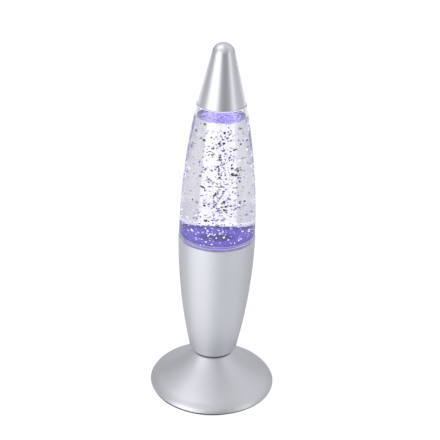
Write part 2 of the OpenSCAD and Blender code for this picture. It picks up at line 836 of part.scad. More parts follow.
module contact_dimple() {
    translate([contact_x - dimple_h, 0, 0]) rotate([0, 90, 0])
        cylinder(r = dimple_r, h = dimple_h + eps);
}

module contact_tab() {
    translate([contact_x, -tab_w / 2, 0]) cube([contact_t, tab_w, z_tab_top - z_cell]);
}

module contact_positive() {
    color("silver") cell_place(cell_count - 1) {
        contact_plate(contact_w);
        contact_dimple();
        contact_tab();
    }
}

module contact_negative() {
    color("silver") cell_place(0) rotate(180) {
        contact_plate(contact_w);
        contact_tab();
    }
}

// Each bridge joins the button of one cell to the spring of the next
module contact_bridges() {
    color("silver") for (i = [0 : cell_count - 2]) cell_place(i) {
        side = i % 2 == 0 ? 1 : -1;
        translate([0, side * cell_pitch / 2, 0]) contact_plate(contact_w + cell_pitch);
        contact_dimple();
    }
}

// Conical spring from its contact plate to the flat end of a cell, along +X
spring_lead = 2 * spring_wire_r;
spring_rise = spring_l - 2 * spring_lead;
spring_steps = 8 * spring_turns;
function spring_point(k) =
    let (t = k / spring_steps)
    let (r = spring_base_r + (spring_tip_r - spring_base_r) * t)
    [spring_lead + spring_rise * t, r * cos(45 * k), r * sin(45 * k)];
spring_path = concat(
    [[0, spring_base_r, 0]],
    [for (k = [0 : spring_steps]) spring_point(k)],
    [[spring_l, spring_tip_r, 0]]
);
// Least free gap between one turn of the spring and the next
spring_gap = min([
    for (k = [0 : spring_steps - 4], m = [k + 4 : spring_steps])
        norm(spring_point(m) - spring_point(k))
]) - 2 * spring_wire_r;
echo(spring_gap = spring_gap);

module contact_springs() {
    color("silver") for (i = [0 : cell_count - 1]) cell_place(i)
        translate([-contact_x, 0, 0]) tube(spring_path, spring_wire_r, 6, [0, 1, 0]);
}

module battery_door() {
    door_l = opening[0] - 2 * fit;
    door_w = opening[1] - 2 * fit;
    neck_l = door_screw_y - door_w / 2;
    riser_t = bay_wall;
    lip_z = z_plate_top + run_gap;
    color("gainsboro") difference() {
        union() {
            box([door_l, door_w, door_t], z_plate);
            translate([0, door_screw_y, z_plate]) cylinder(r = ear_r, h = ear_t);
            translate([0, door_w / 2, 0]) box([2 * ear_r, 2 * neck_l, door_t], z_plate);
            for (side = [-1, 1]) translate([side * opening[0] / 4, -door_w / 2, 0]) {
                translate([0, riser_t / 2, 0])
                    box([hook_w, riser_t, lip_z + hook_t - z_plate], z_plate);
                translate([0, (riser_t - hook_reach) / 2, 0])
                    box([hook_w, riser_t + hook_reach, hook_t], lip_z);
            }
        }
        translate([0, door_screw_y, z_plate - eps]) {
            cylinder(r = small_head_r + screw_play, h = cup_h + eps);
            cylinder(r = small_screw_r + screw_play, h = ear_t + 2 * eps);
        }
    }
}

module door_screw() {
    color("gainsboro") translate([0, door_screw_y, z_door_head])
        screw(small_screw_r, door_screw_l, small_head_r, small_head_h);
}

module switch_housing() {
    color("silver") translate([0, switch_y, 0]) {
        difference() {
            union() {
                box([switch_l, can_w, switch_ear_t], z_switch);
                box([can_l, can_w, can_h + switch_ear_t], z_switch);
            }
            box([slot_l, slot_w, switch_ear_t + 2 * eps], z_switch - eps);
            box([cavity_l, cavity_w, head_h + 2 * run_gap], z_can);
            for (side = [-1, 1])
                translate([side * switch_screw_x, 0, z_switch - eps])
                    cylinder(r = small_screw_r + screw_play, h = switch_ear_t + 2 * eps);
        }
        for (x = [-terminal_x, 0, terminal_x])
            translate([x, 0, 0]) box([terminal_w, switch_ear_t, terminal_h + eps], z_can_top - eps);
    }
}

module switch_slider() {
    grip_z = z_plate + run_gap;
    grip_top = z_well - run_gap;
    groove = slider_l / (2 * slider_grooves + 1);
    color("dimgray") translate([slider_x, switch_y, 0]) difference() {
        union() {
            box([slider_l, slider_w, grip_top - grip_z], grip_z);
            box([stem_l, stem_w, z_can + run_gap - grip_top + 2 * eps], grip_top - eps);
            box([head_l, head_w, head_h], z_can + run_gap);
        }
        for (i = [0 : slider_grooves - 1])
            translate([(i - (slider_grooves - 1) / 2) * 2 * groove, 0, 0])
                box([groove, slider_w + 2 * eps, groove], grip_z - eps);
    }
}

module switch_screws() {
    color("gainsboro") translate([0, switch_y, z_can]) for (side = [-1, 1])
        translate([side * switch_screw_x, 0, 0]) mirror([0, 0, 1])
            screw(small_screw_r, small_screw_l, small_head_r, small_head_h);
}

// Lead ends at the solder tabs, the switch terminals and the underside of the board.
// The leads cross over the bay and rise side by side through the spigot.
tab_pos = [contact_x, cell_pitch, z_lead];
tab_neg = [-contact_x, -cell_pitch, z_lead];
terminal_top = z_can_top + terminal_h;
lead_end = 4 * lead_r;
lead_x = (locator_r - locator_wall) * 0.45;
lead_z = (z_lead + z_seat_low) / 2;
lead_mid_z = z_neck + (z_board - z_neck) * 0.4;
module lead(points, colour, first_side) {
    color(colour) tube(route(points, 3), lead_r, 8, first_side);
}

module lead_battery_switch() {
    lead([
        tab_pos,
        tab_pos - [lead_end, 0, 0],
        [contact_x * 0.68, cell_pitch * 0.55, z_lead + lead_r],
        [contact_x * 0.48, -cell_pitch * 0.9, z_lead + 1.5 * lead_r],
        [contact_x * 0.28, switch_y * 0.84, z_lead + 2 * lead_r],
        [terminal_x, switch_y, terminal_top + 1.5 * lead_end],
        [terminal_x, switch_y, terminal_top]
    ], "firebrick", [0, 0, 1]);
}

module lead_switch_board() {
    lead([
        [0, switch_y, terminal_top],
        [0, switch_y, terminal_top + 1.5 * lead_end],
        [0, switch_y * 0.68, lead_z - lead_end],
        [lead_x * 0.75, switch_y * 0.3, lead_z],
        [lead_x, -lead_x * 0.75, z_seat_low - lead_r],
        [lead_x, 0, z_neck + lead_end],
        [lead_x, lead_x / 2, lead_mid_z],
        [lead_x, 0, z_board - 2 * lead_end],
        [lead_x, 0, z_board]
    ], "firebrick", [1, 0, 0]);
}

module lead_battery_board() {
    lead([
        tab_neg,
        tab_neg + [lead_end, 0, 0],
        [-contact_x * 0.56, -cell_pitch * 0.65, z_lead + 2 * lead_r],
        [-contact_x * 0.24, -cell_pitch * 0.28, lead_z],
        [-lead_x, lead_x / 4, z_seat_low - lead_r],
        [-lead_x, lead_x / 2, z_neck + lead_end],
        [-lead_x, lead_x / 2, lead_mid_z],
        [-lead_x, 0, z_board - 2 * lead_end],
        [-lead_x, 0, z_board]
    ], "black", [0, 0, 1]);
}

cap();
stopper();
vessel();
liquid();
glitter_flakes();
vessel_plug();
plug_seal();
reflector();
light_board();
diodes();
board_chip();
board_screws();
body_shell();
neck_screws();
foot_shell();
base_plate();
base_screws();
rubber_feet();
battery_cells();
contact_positive();
contact_negative();
contact_bridges();
contact_springs();
battery_door();
door_screw();
switch_housing();
switch_slider();
switch_screws();
lead_battery_switch();
lead_switch_board();
lead_battery_board();
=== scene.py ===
import json
import random
from math import asin, atan2, ceil, copysign, cos, exp, pi, radians, sin, sqrt, tan

import bpy
from bpy.props import FloatProperty, FloatVectorProperty, IntProperty, PointerProperty
from bpy.types import Operator, Panel, PropertyGroup
from mathutils import Euler, Matrix, Vector

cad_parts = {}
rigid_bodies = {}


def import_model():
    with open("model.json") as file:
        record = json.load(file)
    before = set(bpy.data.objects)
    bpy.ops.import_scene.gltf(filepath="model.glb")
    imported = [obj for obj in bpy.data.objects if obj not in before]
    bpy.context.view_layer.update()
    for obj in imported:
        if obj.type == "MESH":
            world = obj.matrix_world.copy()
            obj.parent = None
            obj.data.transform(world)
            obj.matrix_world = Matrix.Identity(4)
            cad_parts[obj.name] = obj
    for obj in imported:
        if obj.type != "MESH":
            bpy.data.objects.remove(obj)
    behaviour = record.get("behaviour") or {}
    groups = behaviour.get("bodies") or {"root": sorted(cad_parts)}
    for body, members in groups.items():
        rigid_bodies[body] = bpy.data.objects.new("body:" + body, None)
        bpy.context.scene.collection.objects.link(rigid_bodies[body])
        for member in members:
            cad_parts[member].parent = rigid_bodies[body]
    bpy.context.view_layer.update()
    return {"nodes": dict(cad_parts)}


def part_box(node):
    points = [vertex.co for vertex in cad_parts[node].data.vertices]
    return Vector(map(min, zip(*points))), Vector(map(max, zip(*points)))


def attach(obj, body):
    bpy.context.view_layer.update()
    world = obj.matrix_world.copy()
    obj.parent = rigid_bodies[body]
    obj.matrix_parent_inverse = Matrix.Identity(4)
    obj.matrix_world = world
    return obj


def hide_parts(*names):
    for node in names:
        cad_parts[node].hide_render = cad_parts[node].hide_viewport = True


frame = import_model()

bl_info = {
    "name": "Glitter lamp",
    "version": (1, 0, 0),
    "blender": (4, 5, 0),
    "location": "View3D > Sidebar > Glitter lamp",
    "description": "Dresses the glitter lamp: shells, vessel, liquid, glitter, light and base",
    "category": "Object",
}

MM = 0.001
CAP_LOW, CAP_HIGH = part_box("cap")
VESSEL_LOW, VESSEL_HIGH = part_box("vessel")
LIQUID_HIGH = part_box("liquid")[1]
PLUG_LOW, PLUG_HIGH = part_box("vessel_plug")
BODY_LOW, BODY_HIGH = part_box("body_shell")
FOOT_LOW, FOOT_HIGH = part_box("foot_shell")
BLACK = (0.0, 0.0, 0.0)
WHITE = (1.0, 1.0, 1.0)

# Fineness of the turned and softened meshes
ROUND_STEPS = 128
FINE_STEPS = 160
BOW_STEP = 3.0 * MM
ROUNDING_STEP = radians(13.0)
BRACE = 0.2 * MM
TURN_WELD, COPY_WELD = 0.004 * MM, 0.002 * MM
TURN_SMOOTH, COPY_SMOOTH = radians(35.0), radians(32.0)
COPY_FLAT, COPY_SHARP = radians(1.0), radians(40.0)

# Tones that tell the flakes apart in the foil finish (DARK painted shade, BRIGHT painted glint, LIT
# painted glow), and their chances in the cloud
DARK, VIOLET, SILVER, BRIGHT, LIT = 0.1, 0.4, 0.6, 0.85, 1.0
DARK_IN_CORE, DARK_AROUND, VIOLET_CHANCE, SILVER_CHANCE = 0.2, 0.06, 0.58, 0.25
SILVERED, UNLIT, UNLIT_LOW = 0.75, 0.94, 0.8


# Property types

def length(name, description, default):
    """A length in metres."""
    return FloatProperty(name=name, description=description, default=default,
                         subtype="DISTANCE", unit="LENGTH", precision=5)


def share(name, description, default):
    """A share from none to all."""
    return FloatProperty(name=name, description=description, default=default,
                         subtype="FACTOR", min=0.0, max=1.0)


def tint(name, description, default):
    """A colour in linear light."""
    return FloatVectorProperty(name=name, description=description, default=default,
                               subtype="COLOR", size=3, min=0.0, max=1.0)


class LampSizes(PropertyGroup):
    """Sizes of the turned pieces, and roundings of the others."""
    cap_rim_r: length("Cap rim", "Outer radius of the cap at its rim", CAP_HIGH.x)
    cap_tip_r: length("Cap tip", "Radius of the rounded tip", 9.1 * MM)
    cap_wall: length("Cap wall", "Wall of the cap", 1.8 * MM)
    cap_edge_r: length("Cap edge", "Rounding of the cap's lower edge", 0.05 * MM)
    sleeve_r: length("Cap sleeve", "Inner radius of the sleeve that grips the neck", 13.1 * MM)
    sleeve_wall: length("Sleeve wall", "Wall of that sleeve", 1.4 * MM)
    sleeve_lift: length("Sleeve lift", "Step up from the cap's rim to the sleeve", 1.0 * MM)
    vessel_base_r: length("Vessel base", "Outer radius of the vessel at the body", VESSEL_HIGH.x)
    vessel_top_r: length("Vessel shoulder", "Outer radius of the vessel at its shoulder", 19.3 * MM)
    vessel_bulge: length("Vessel bulge", "Outward bulge of the vessel's flank", 2.9 * MM)
    vessel_wall: length("Vessel wall", "Wall of the vessel", 2.0 * MM)
    vessel_edge_r: length("Vessel edge", "Rounding of the vessel's outer edges", 0.3 * MM)
    vessel_fillet_r: length("Vessel fillet", "Rounding of the vessel's upper corners", 0.8 * MM)
    ceiling: length("Vessel ceiling", "Wall of the vessel under the cap", 0.7 * MM)
    neck_r: length("Vessel neck", "Outer radius of the vessel's neck", 12.9 * MM)
    neck_wall: length("Neck wall", "Wall of the neck", 2.0 * MM)
    spigot_r: length("Vessel spigot", "Outer radius of the spigot in the body", PLUG_HIGH.x)
    spigot_wall: length("Spigot wall", "Wall of the spigot", 1.2 * MM)
    # Heights of the painted glow and the painted pale line on the vessel's wall.
    painted_glow_h: length("Piped light", "Height of the light in the vessel's low corner", 1.7 * MM)
    painted_line_h: length("Piped line", "Height of the pale line over that light", 2.6 * MM)
    wetting: length("Wetting", "Overlap of the liquid with the vessel's wall", 0.25 * MM)
    liquid_dip: length("Liquid dip", "Overlap of the liquid with the lit floor", 0.05 * MM)
    meniscus: length("Meniscus", "Climb of the liquid at the vessel's wall", 1.2 * MM)
    meniscus_decay: length("Meniscus decay", "Distance in which that climb falls off", 1.7 * MM)
    joint_gap: length("Joint gap", "Hairline gap between the vessel and the shells", 0.05 * MM)
    body_rim_r: length("Body rim", "Outer radius of the body at its rim", BODY_HIGH.x)
    body_neck_r: length("Body neck", "Outer radius of the body at the foot", 19.5 * MM)
    body_bulge: length("Body bulge", "Outward bulge of the body's flank", 2.8 * MM)
    body_edge_r: length("Body edge", "Rounding of the body's lower edge", 2.7 * MM)
    body_wall: length("Body wall", "Wall of the body", 2.6 * MM)
    body_spread: length("Body spread", "Widening of the body's inside at its floor", 0.6 * MM)
    body_floor_t: length("Body floor", "Thickness of the body's floor", 3.0 * MM)
    locator_r: length("Locator", "Outer radius of the body's spigot in the foot", 7.0 * MM)
    lead_bore_r: length("Lead bore", "Radius of the bore for the leads", 4.6 * MM)
    seat_bore_r: length("Vessel seat", "Radius of the seat for the vessel", 29.2 * MM)
    seat_gap: length("Seat gap", "Gap between that seat and the plug", 0.2 * MM)
    seat_ledge: length("Seat ledge", "Width of the seat's ledge", 1.2 * MM)
    foot_rim_r: length("Foot rim", "Outer radius of the foot", FOOT_HIGH.x)
    foot_top_r: length("Foot top", "Outer radius of the foot under the body", 17.9 * MM)
    foot_hollow: length("Foot hollow", "Hollow of the foot's flank", 1.9 * MM)
    foot_wall: length("Foot wall", "Wall of the foot", 1.8 * MM)
    foot_thinning: length("Foot thinning", "Thinning of that wall at the rim", 0.9 * MM)
    foot_seat_t: length("Foot seat", "Thickness of the seat under the body", 2.6 * MM)
    foot_seat_r: length("Foot seat radius", "Radius of that seat", 13.0 * MM)
    foot_hole_r: length("Foot hole", "Radius of the hole for the body's spigot", 7.05 * MM)
    foot_lip_h: length("Foot lip", "Height of the rolled lip at the rim", 3.2 * MM)
    foot_lip_lean: FloatProperty(name="Foot lip lean", description="Inward lean of that lip",
                                 default=radians(26.0), subtype="ANGLE", unit="ROTATION")
    foot_roll_r: length("Foot roll", "Rounding of the foot's rim", 10.6 * MM)
    foot_groove: length("Foot groove", "Shadow groove between the foot and the body", 1.4 * MM)
    foot_edge_r: length("Foot edge", "Rounding of the foot's edge under the body", 2.2 * MM)
    edge_r: length("Edge rounding", "Rounding of the moulded edges", 0.4 * MM)
    fine_edge_r: length("Fine edge", "Rounding of thin edges", 0.2 * MM)
    stopper_edge_r: length("Stopper edge", "Rounding of the stopper", 0.35 * MM)
    pad_edge_r: length("Pad edge", "Rounding of the rubber pads", 0.25 * MM)
    plate_edge_r: length("Plate edge", "Rounding of the base plate and its pieces", 0.2 * MM)
    screw_edge_r: length("Screw edge", "Rounding of the screws", 0.12 * MM)
    cell_edge_r: length("Cell edge", "Rounding of the cells", 0.4 * MM)


class LampGlitter(PropertyGroup):
    """The cloud of flakes in the liquid."""
    drifting: IntProperty(name="Drifting flakes", description="Flakes adrift in the liquid",
                          default=1000, min=1)
    settled: IntProperty(name="Low flakes", description="Flakes close over the lit floor",
                         default=48, min=0)
    floating: IntProperty(name="Floating flakes", description="Flakes just under the surface",
                          default=320, min=0)
    flake_r: length("Flake", "Radius of a flake across its corners", 0.75 * MM)
    flake_t: length("Flake thickness", "Thickness of a flake", 0.1 * MM)
    margin: length("Margin", "Clear margin around the cloud", 1.2 * MM)
    # Within the core more flakes are painted dark as shade; near the lit floor flakes get painted
    # glints.
    core: share("Core", "Share of the radius where flakes stand against the light", 0.5)
    raft: share("Raft", "Share of the radius that the floating flakes cover", 0.85)
    glint_h: length("Glints", "Height over the lit floor where flakes glint", 11.0 * MM)
    seed: IntProperty(name="Seed", description="Seed of the cloud", default=7)


class LampColours(PropertyGroup):
    """Colours of the finishes."""
    silver: tint("Silver body", "Satin lacquer on the body and foot", (0.62, 0.628, 0.665))
    cap: tint("Silver cap", "Glossier lacquer on the cap", (0.66, 0.667, 0.70))
    vessel: tint("Vessel", "Clear moulding", (0.99, 0.99, 0.998))
    liquid: tint("Liquid", "Clear liquid", (0.985, 0.98, 1.0))
    glow_middle: tint("Glow, middle", "Light in the middle of the lit floor", (0.03, 0.022, 0.22))
    glow_ring: tint("Glow, ring", "Light over the ring of diodes", (0.11, 0.078, 0.57))
    glow_outer: tint("Glow, outer", "Light outside that ring", (0.04, 0.028, 0.26))
    glow_edge: tint("Glow, edge", "Light at the edge of the lit floor", (0.27, 0.24, 0.52))
    frost: tint("Frost", "Unlit tone of the lit floor", (0.015, 0.012, 0.04))
    # Painted light on the clear vessel: a glow and a pale line over the lit floor, standing in for
    # light that the wall carries; the line's colour also paints a highlight along the shoulder.
    painted_glow: tint("Piped light", "Light in the vessel's wall over the lit floor", (0.045, 0.034, 0.155))
    painted_line: tint("Piped line", "Pale line over that light", (0.25, 0.25, 0.27))
    foil: tint("Foil", "Silver flakes", (0.88, 0.88, 0.92))
    foil_violet: tint("Violet foil", "Violet flakes", (0.17, 0.12, 0.55))
    # Painted light and shade of the flakes: a painted glint, near-black flakes painted as shade
    # against the light, and a painted glow.
    foil_painted_glint: tint("Bright foil", "Flakes that glint in the light from below", (0.66, 0.64, 0.72))
    foil_painted_shade: tint("Dark foil", "Flakes seen against the light", (0.016, 0.013, 0.03))
    foil_painted_glow: tint("Lit foil", "Floating flakes in the violet light", (0.39, 0.33, 0.81))
    rubber: tint("Rubber", "Pads, seal and stopper", (0.035, 0.035, 0.038))
    white: tint("White moulding", "Reflector", (0.80, 0.80, 0.79))
    grey: tint("Grey moulding", "Base plate and door", (0.36, 0.37, 0.39))
    black: tint("Black moulding", "Switch and chip", (0.018, 0.018, 0.02))
    board: tint("Board", "Solder mask", (0.012, 0.10, 0.035))
    zinc: tint("Zinc", "Plated screws", (0.58, 0.58, 0.60))
    nickel: tint("Nickel", "Contacts and springs", (0.66, 0.63, 0.57))
    wrapper: tint("Wrapper", "Sleeve of the cells", (0.05, 0.065, 0.10))
    wrapper_band: tint("Wrapper band", "Band at the button end of a cell", (0.30, 0.31, 0.33))
    red: tint("Red lead", "Insulation of the live leads", (0.42, 0.02, 0.02))
    dark: tint("Black lead", "Insulation of the return lead", (0.014, 0.014, 0.016))


# Node trees

class Wire:
    """An output of a node. Sums on it add the Math nodes."""

    def __init__(self, tree, socket):
        self.tree = tree
        self.socket = socket

    def math(self, operation, *terms):
        return self.tree.node("ShaderNodeMath", {"operation": operation}, dict(enumerate(terms)))

    def __add__(self, other):
        return self.math("ADD", self, other)

    def __radd__(self, other):
        return self.math("ADD", other, self)

    def __sub__(self, other):
        return self.math("SUBTRACT", self, other)

    def __rsub__(self, other):
        return self.math("SUBTRACT", other, self)

    def __mul__(self, other):
        return self.math("MULTIPLY", self, other)

    def __rmul__(self, other):
        return self.math("MULTIPLY", other, self)

    def __truediv__(self, other):
        return self.math("DIVIDE", self, other)

    def __rtruediv__(self, other):
        return self.math("DIVIDE", other, self)

    def __pow__(self, other):
        return self.math("POWER", self, other)

    def __lt__(self, other):
        return self.math("LESS_THAN", self, other)

    def __gt__(self, other):
        return self.math("GREATER_THAN", self, other)

    def __abs__(self):
        return self.math("ABSOLUTE", self)


class Tree:
    """A node tree that is built up node by node."""

    def __init__(self, tree):
        self.tree = tree
        tree.nodes.clear()

    def node(self, kind, settings=None, values=None, out=0):
        made = self.tree.nodes.new(kind)
        for key, value in (settings or {}).items():
            if key == "stops":
                self.set_stops(made.color_ramp, value)
            else:
                setattr(made, key, value)
        for key, value in (values or {}).items():
            if isinstance(value, Wire):
                self.tree.links.new(value.socket, made.inputs[key])
            else:
                made.inputs[key].default_value = value
        return Wire(self, made.outputs[out]) if made.outputs else None

    @staticmethod
    def set_stops(ramp, stops):
        while len(ramp.elements) < len(stops):
            ramp.elements.new(1.0)
        for element, (place, colour) in zip(ramp.elements, stops):
            element.position = place
            element.color = colour

    def place(self):
        return self.node("ShaderNodeTexCoord", out="Object")

    def parts(self, vector):
        split = self.node("ShaderNodeSeparateXYZ", None, {0: vector})
        outputs = split.socket.node.outputs
        return [Wire(self, outputs[i]) for i in range(3)]

    def reach(self, vector):
        """Distance from the lamp's axis."""
        x, y, _ = self.parts(vector)
        return (x * x + y * y) ** 0.5

    def rays(self, *kinds):
        outputs = self.node("ShaderNodeLightPath").socket.node.outputs
        return [Wire(self, outputs[kind]) for kind in kinds]

    def noise(self, vector, scale, detail=2.0):
        return self.node("ShaderNodeTexNoise", None,
                         {"Vector": vector, "Scale": scale, "Detail": detail})

    def blend(self, factor, first, second):
        return self.node("ShaderNodeMix", {"data_type": "RGBA"}, {0: factor, 6: first, 7: second}, 2)

    def step(self, value, low, high):
        """Soft step from 0 at low to 1 at high."""
        return self.node("ShaderNodeMapRange", {"interpolation_type": "SMOOTHSTEP"},
                         {0: value, 1: low, 2: high})

    def bump(self, height, strength, distance):
        return self.node("ShaderNodeBump", None,
                         {"Strength": strength, "Distance": distance, "Height": height})

    def glow(self, colour, strength=1.0):
        return self.node("ShaderNodeEmission", None, {"Color": colour, "Strength": strength})

    def mix(self, factor, first, second):
        return self.node("ShaderNodeMixShader", None, {0: factor, 1: first, 2: second})


def rgba(colour, times=1.0):
    """Opaque colour, lightened or darkened."""
    return (*[min(1.0, c * times) for c in colour], 1.0)


def finish(values_of):
    """Turn a function for the values of a surface into one that makes the named material."""
    def make(name, *facts):
        material = bpy.data.materials.new(name)
        material.use_nodes = True
        tree = Tree(material.node_tree)
        surface = tree.node("ShaderNodeBsdfPrincipled", None, values_of(tree, *facts))
        tree.node("ShaderNodeOutputMaterial", None, {"Surface": surface})
        return material
    return make


@finish
def lacquer(tree, colour, rough, flow):
    """Silver lacquer: fine metal grain, slow tone drift and a faint orange-peel surface."""
    place = tree.place()
    grain = tree.noise(place, 5200.0, 1.0)
    drift = tree.noise(place, 26.0, 2.0)
    peel = tree.noise(place, 420.0, 2.0)
    tone = 0.75 * grain + 0.25 * drift
    return {
        "Base Color": tree.blend(tree.step(tone, 0.3, 0.7), rgba(colour, 0.95), rgba(colour, 1.05)),
        "Metallic": 0.86,
        "Roughness": rough + 0.05 * (drift - 0.5) + 0.05 * (grain - 0.5),
        "Coat Weight": 0.06,
        "Coat Roughness": flow,
        "Normal": tree.bump(0.6 * peel + 0.4 * grain, 0.1, 0.02 * MM),
    }


def clear_values(tree, colour, ior, wave):
    """Surface of a clear stuff with a slow drift and waviness."""
    drift = tree.noise(tree.place(), 45.0, 1.0)
    return {
        "Base Color": tree.blend(drift, rgba(colour), rgba(colour, 0.985)),
        "Roughness": 0.0,
        "IOR": ior,
        "Transmission Weight": 1.0,
        "Normal": tree.bump(drift, wave, 0.4 * MM),
    }


@finish
def clear_liquid(tree, colour):
    """Clear, still liquid."""
    return clear_values(tree, colour, 1.333, 0.0)


@finish
def clear_moulding(tree, colours, corner, band_h, line_h, edge):
    """Clear moulding with painted light: a painted glow band and a painted pale line over its low
    inner corner, standing in for light that the wall carries up from the lit floor, and a painted
    highlight as a faint line along its upper edge. The corner and the edge are (radius, height)."""
    place = tree.place()
    out = tree.reach(place)
    z = tree.parts(place)[2]
    corner_r, corner_z = corner
    edge_r, edge_z = edge
    # Painted glow: a band and a pale line painted on the wall just over the lit floor.
    inner = tree.step(out, corner_r + 0.8 * MM, corner_r + 0.6 * MM)
    over_floor = tree.step(z, corner_z - 0.2 * MM, corner_z - 0.1 * MM)
    band = tree.step(z, corner_z + band_h, corner_z + band_h - 0.5 * MM)
    line = tree.step(z, corner_z + line_h, corner_z + line_h - 0.3 * MM)
    painted_wall_glow = tree.blend(line, rgba(BLACK), rgba(colours.painted_line))
    painted_wall_glow = tree.blend(band, painted_wall_glow, rgba(colours.painted_glow))
    low = tree.blend(inner * over_floor, rgba(BLACK), painted_wall_glow)
    # Painted highlight: a faint line painted along the shoulder's upper outer edge, where glints
    # show.
    outer = tree.step(out, edge_r - 0.6 * MM, edge_r - 0.5 * MM)
    upper = tree.step(z, edge_z - 0.5 * MM, edge_z - 0.4 * MM)
    surface = clear_values(tree, colours.vessel, 1.49, 0.04)
    surface["Emission Color"] = tree.blend(outer * upper, low, rgba(colours.painted_line, 0.6))
    surface["Emission Strength"] = 1.0
    return surface


@finish
def foil(tree, colours):
    """Mirror foil. A flake's own tone makes it violet or silver, paints it near black as shade
    against the light, or gives it a painted glint or glow of the light from below.
    """
    tone = tree.node("ShaderNodeAttribute", {"attribute_name": "tone"}, out="Fac")
    crease = tree.noise(tree.place(), 2600.0, 1.0)
    dark, violet = rgba(colours.foil_painted_shade), rgba(colours.foil_violet)
    bright, lit = rgba(colours.foil_painted_glint), rgba(colours.foil_painted_glow)
    # Dark flakes are painted near black, as shade against the light.
    tinted = tree.blend(tone > (DARK + VIOLET) / 2, dark, violet)
    silvery = (tone > (VIOLET + SILVER) / 2) * (tone < (BRIGHT + LIT) / 2)
    # Painted glint and glow: bright and lit flakes emit a colour that stands in for the light from
    # below.
    painted_shine = tree.blend(tone > (BRIGHT + LIT) / 2, bright, lit)
    return {
        "Base Color": tree.blend(silvery, tinted, rgba(colours.foil)),
        "Metallic": 1.0,
        "Roughness": 0.12 + 0.2 * crease,
        "Emission Color": tree.blend(tone > (SILVER + BRIGHT) / 2, rgba(BLACK), painted_shine),
        "Emission Strength": 1.0,
        "Normal": tree.bump(crease, 0.25, 0.03 * MM),
    }


@finish
def lit_frost(tree, colours, reach):
    """Frosted floor over a ring of diodes, with moulded ridges and a pale edge."""
    middle, ring = rgba(colours.glow_middle), rgba(colours.glow_ring)
    outer, edge = rgba(colours.glow_outer), rgba(colours.glow_edge)
    place = tree.place()
    haze = tree.noise(place, 130.0, 2.0)
    frost = tree.noise(place, 1500.0, 2.0)
    out = tree.reach(place) / reach + 0.12 * (haze - 0.5)
    stops = ((0.22, middle), (0.45, ring), (0.72, ring), (0.82, outer), (0.94, outer), (0.975, edge))
    glow = tree.node("ShaderNodeValToRGB", {"stops": stops}, {0: out})
    ridges = (0.5 + 0.5 * out.math("SINE", out * 62.0)) * tree.step(out, 0.5, 0.7)
    return {
        "Base Color": rgba(colours.frost),
        "Roughness": 0.5,
        "IOR": 1.12,
        "Emission Color": tree.blend(0.45 * ridges, glow, middle),
        "Emission Strength": 1.0,
        "Normal": tree.bump(frost, 0.2, 0.05 * MM),
    }


@finish
def moulded(tree, colour, rough=0.5):
    """Moulded plastic with a fine spark-eroded grain."""
    place = tree.place()
    grain = tree.noise(place, 2400.0, 2.0)
    drift = tree.noise(place, 60.0, 2.0)
    return {
        "Base Color": tree.blend(tree.step(drift, 0.3, 0.7), rgba(colour, 0.93), rgba(colour, 1.05)),
        "Roughness": rough + 0.1 * (grain - 0.5),
        "Normal": tree.bump(grain, 0.25, 0.04 * MM),
    }


@finish
def plated(tree, colour, rough=0.3):
    """Plated metal with fine scratches and a duller drift."""
    place = tree.place()
    scratch = tree.noise(tree.node("ShaderNodeMapping", None, {
        "Vector": place, "Scale": (900.0, 5200.0, 900.0)}), 1.0, 2.0)
    dull = tree.noise(place, 260.0, 2.0)
    return {
        "Base Color": tree.blend(tree.step(dull, 0.35, 0.7), rgba(colour), rgba(colour, 0.82)),
        "Metallic": 1.0,
        "Roughness": rough + 0.2 * (dull - 0.5) + 0.1 * (scratch - 0.5),
        "Normal": tree.bump(scratch, 0.15, 0.02 * MM),
    }


@finish
def rubbery(tree, colour):
    """Soft rubber with pale bloom in its grain."""
    place = tree.place()
    grain = tree.noise(place, 1900.0, 3.0)
    bloom = tree.noise(place, 240.0, 2.0)
    return {
        "Base Color": tree.blend(tree.step(bloom, 0.4, 0.75), rgba(colour), rgba(colour, 2.0)),
        "Roughness": 0.72 + 0.16 * (grain - 0.5),
        "Normal": tree.bump(grain, 0.4, 0.05 * MM),
    }


@finish
def wrapped_cell(tree, wrapper, band, bare, half, pitch):
    """Plain sleeve round a cell, with a band at its button end and bare metal at both.
    The middle cell lies the other way round."""
    place = tree.place()
    x, y, _ = tree.parts(place)
    scuff = tree.noise(place, 700.0, 3.0)
    button_way = x * (1 - 2 * (abs(y) < 0.5 * pitch))
    band_from, sleeve_end, bare_from = 0.45 * half, 0.94 * half, 0.945 * half
    sleeve = tree.blend(button_way > band_from, rgba(wrapper), rgba(band))
    end = tree.step(abs(x), sleeve_end, bare_from)
    return {
        "Base Color": tree.blend(end, sleeve, rgba(bare)),
        "Metallic": 0.35 + 0.65 * end,
        "Roughness": 0.26 + 0.14 * scuff,
        "Normal": tree.bump(scuff, 0.1, 0.02 * MM),
    }


@finish
def solder_mask(tree, mask, pad):
    """Green mask over copper runs, with bare pads."""
    place = tree.place()
    runs = tree.node("ShaderNodeTexBrick", None, {
        "Vector": place, "Scale": 260.0, "Mortar Size": 0.04,
        "Color1": rgba(mask), "Color2": rgba(mask, 1.25), "Mortar": rgba(mask, 2.4)})
    dots = tree.node("ShaderNodeTexVoronoi", None, {"Vector": place, "Scale": 190.0}, "Distance")
    bare = tree.step(dots, 0.16, 0.14)
    return {
        "Base Color": tree.blend(bare, runs, rgba(pad)),
        "Metallic": 0.9 * bare,
        "Roughness": 0.32 + 0.1 * dots,
        "Normal": tree.bump(dots, 0.12, 0.05 * MM),
    }


@finish
def diode_lens(tree, colour, low, height):
    """Lit diode: a tinted lens that brightens up to its top."""
    place = tree.place()
    haze = tree.noise(place, 600.0, 2.0)
    up = tree.step(tree.parts(place)[2], low, low + height)
    return {
        "Base Color": tree.blend(haze, rgba(colour), rgba(colour, 0.8)),
        "Roughness": 0.12 + 0.1 * haze,
        "Emission Color": tree.blend(up, rgba(colour), rgba(WHITE)),
        "Emission Strength": 1.4,
    }


# Modelling

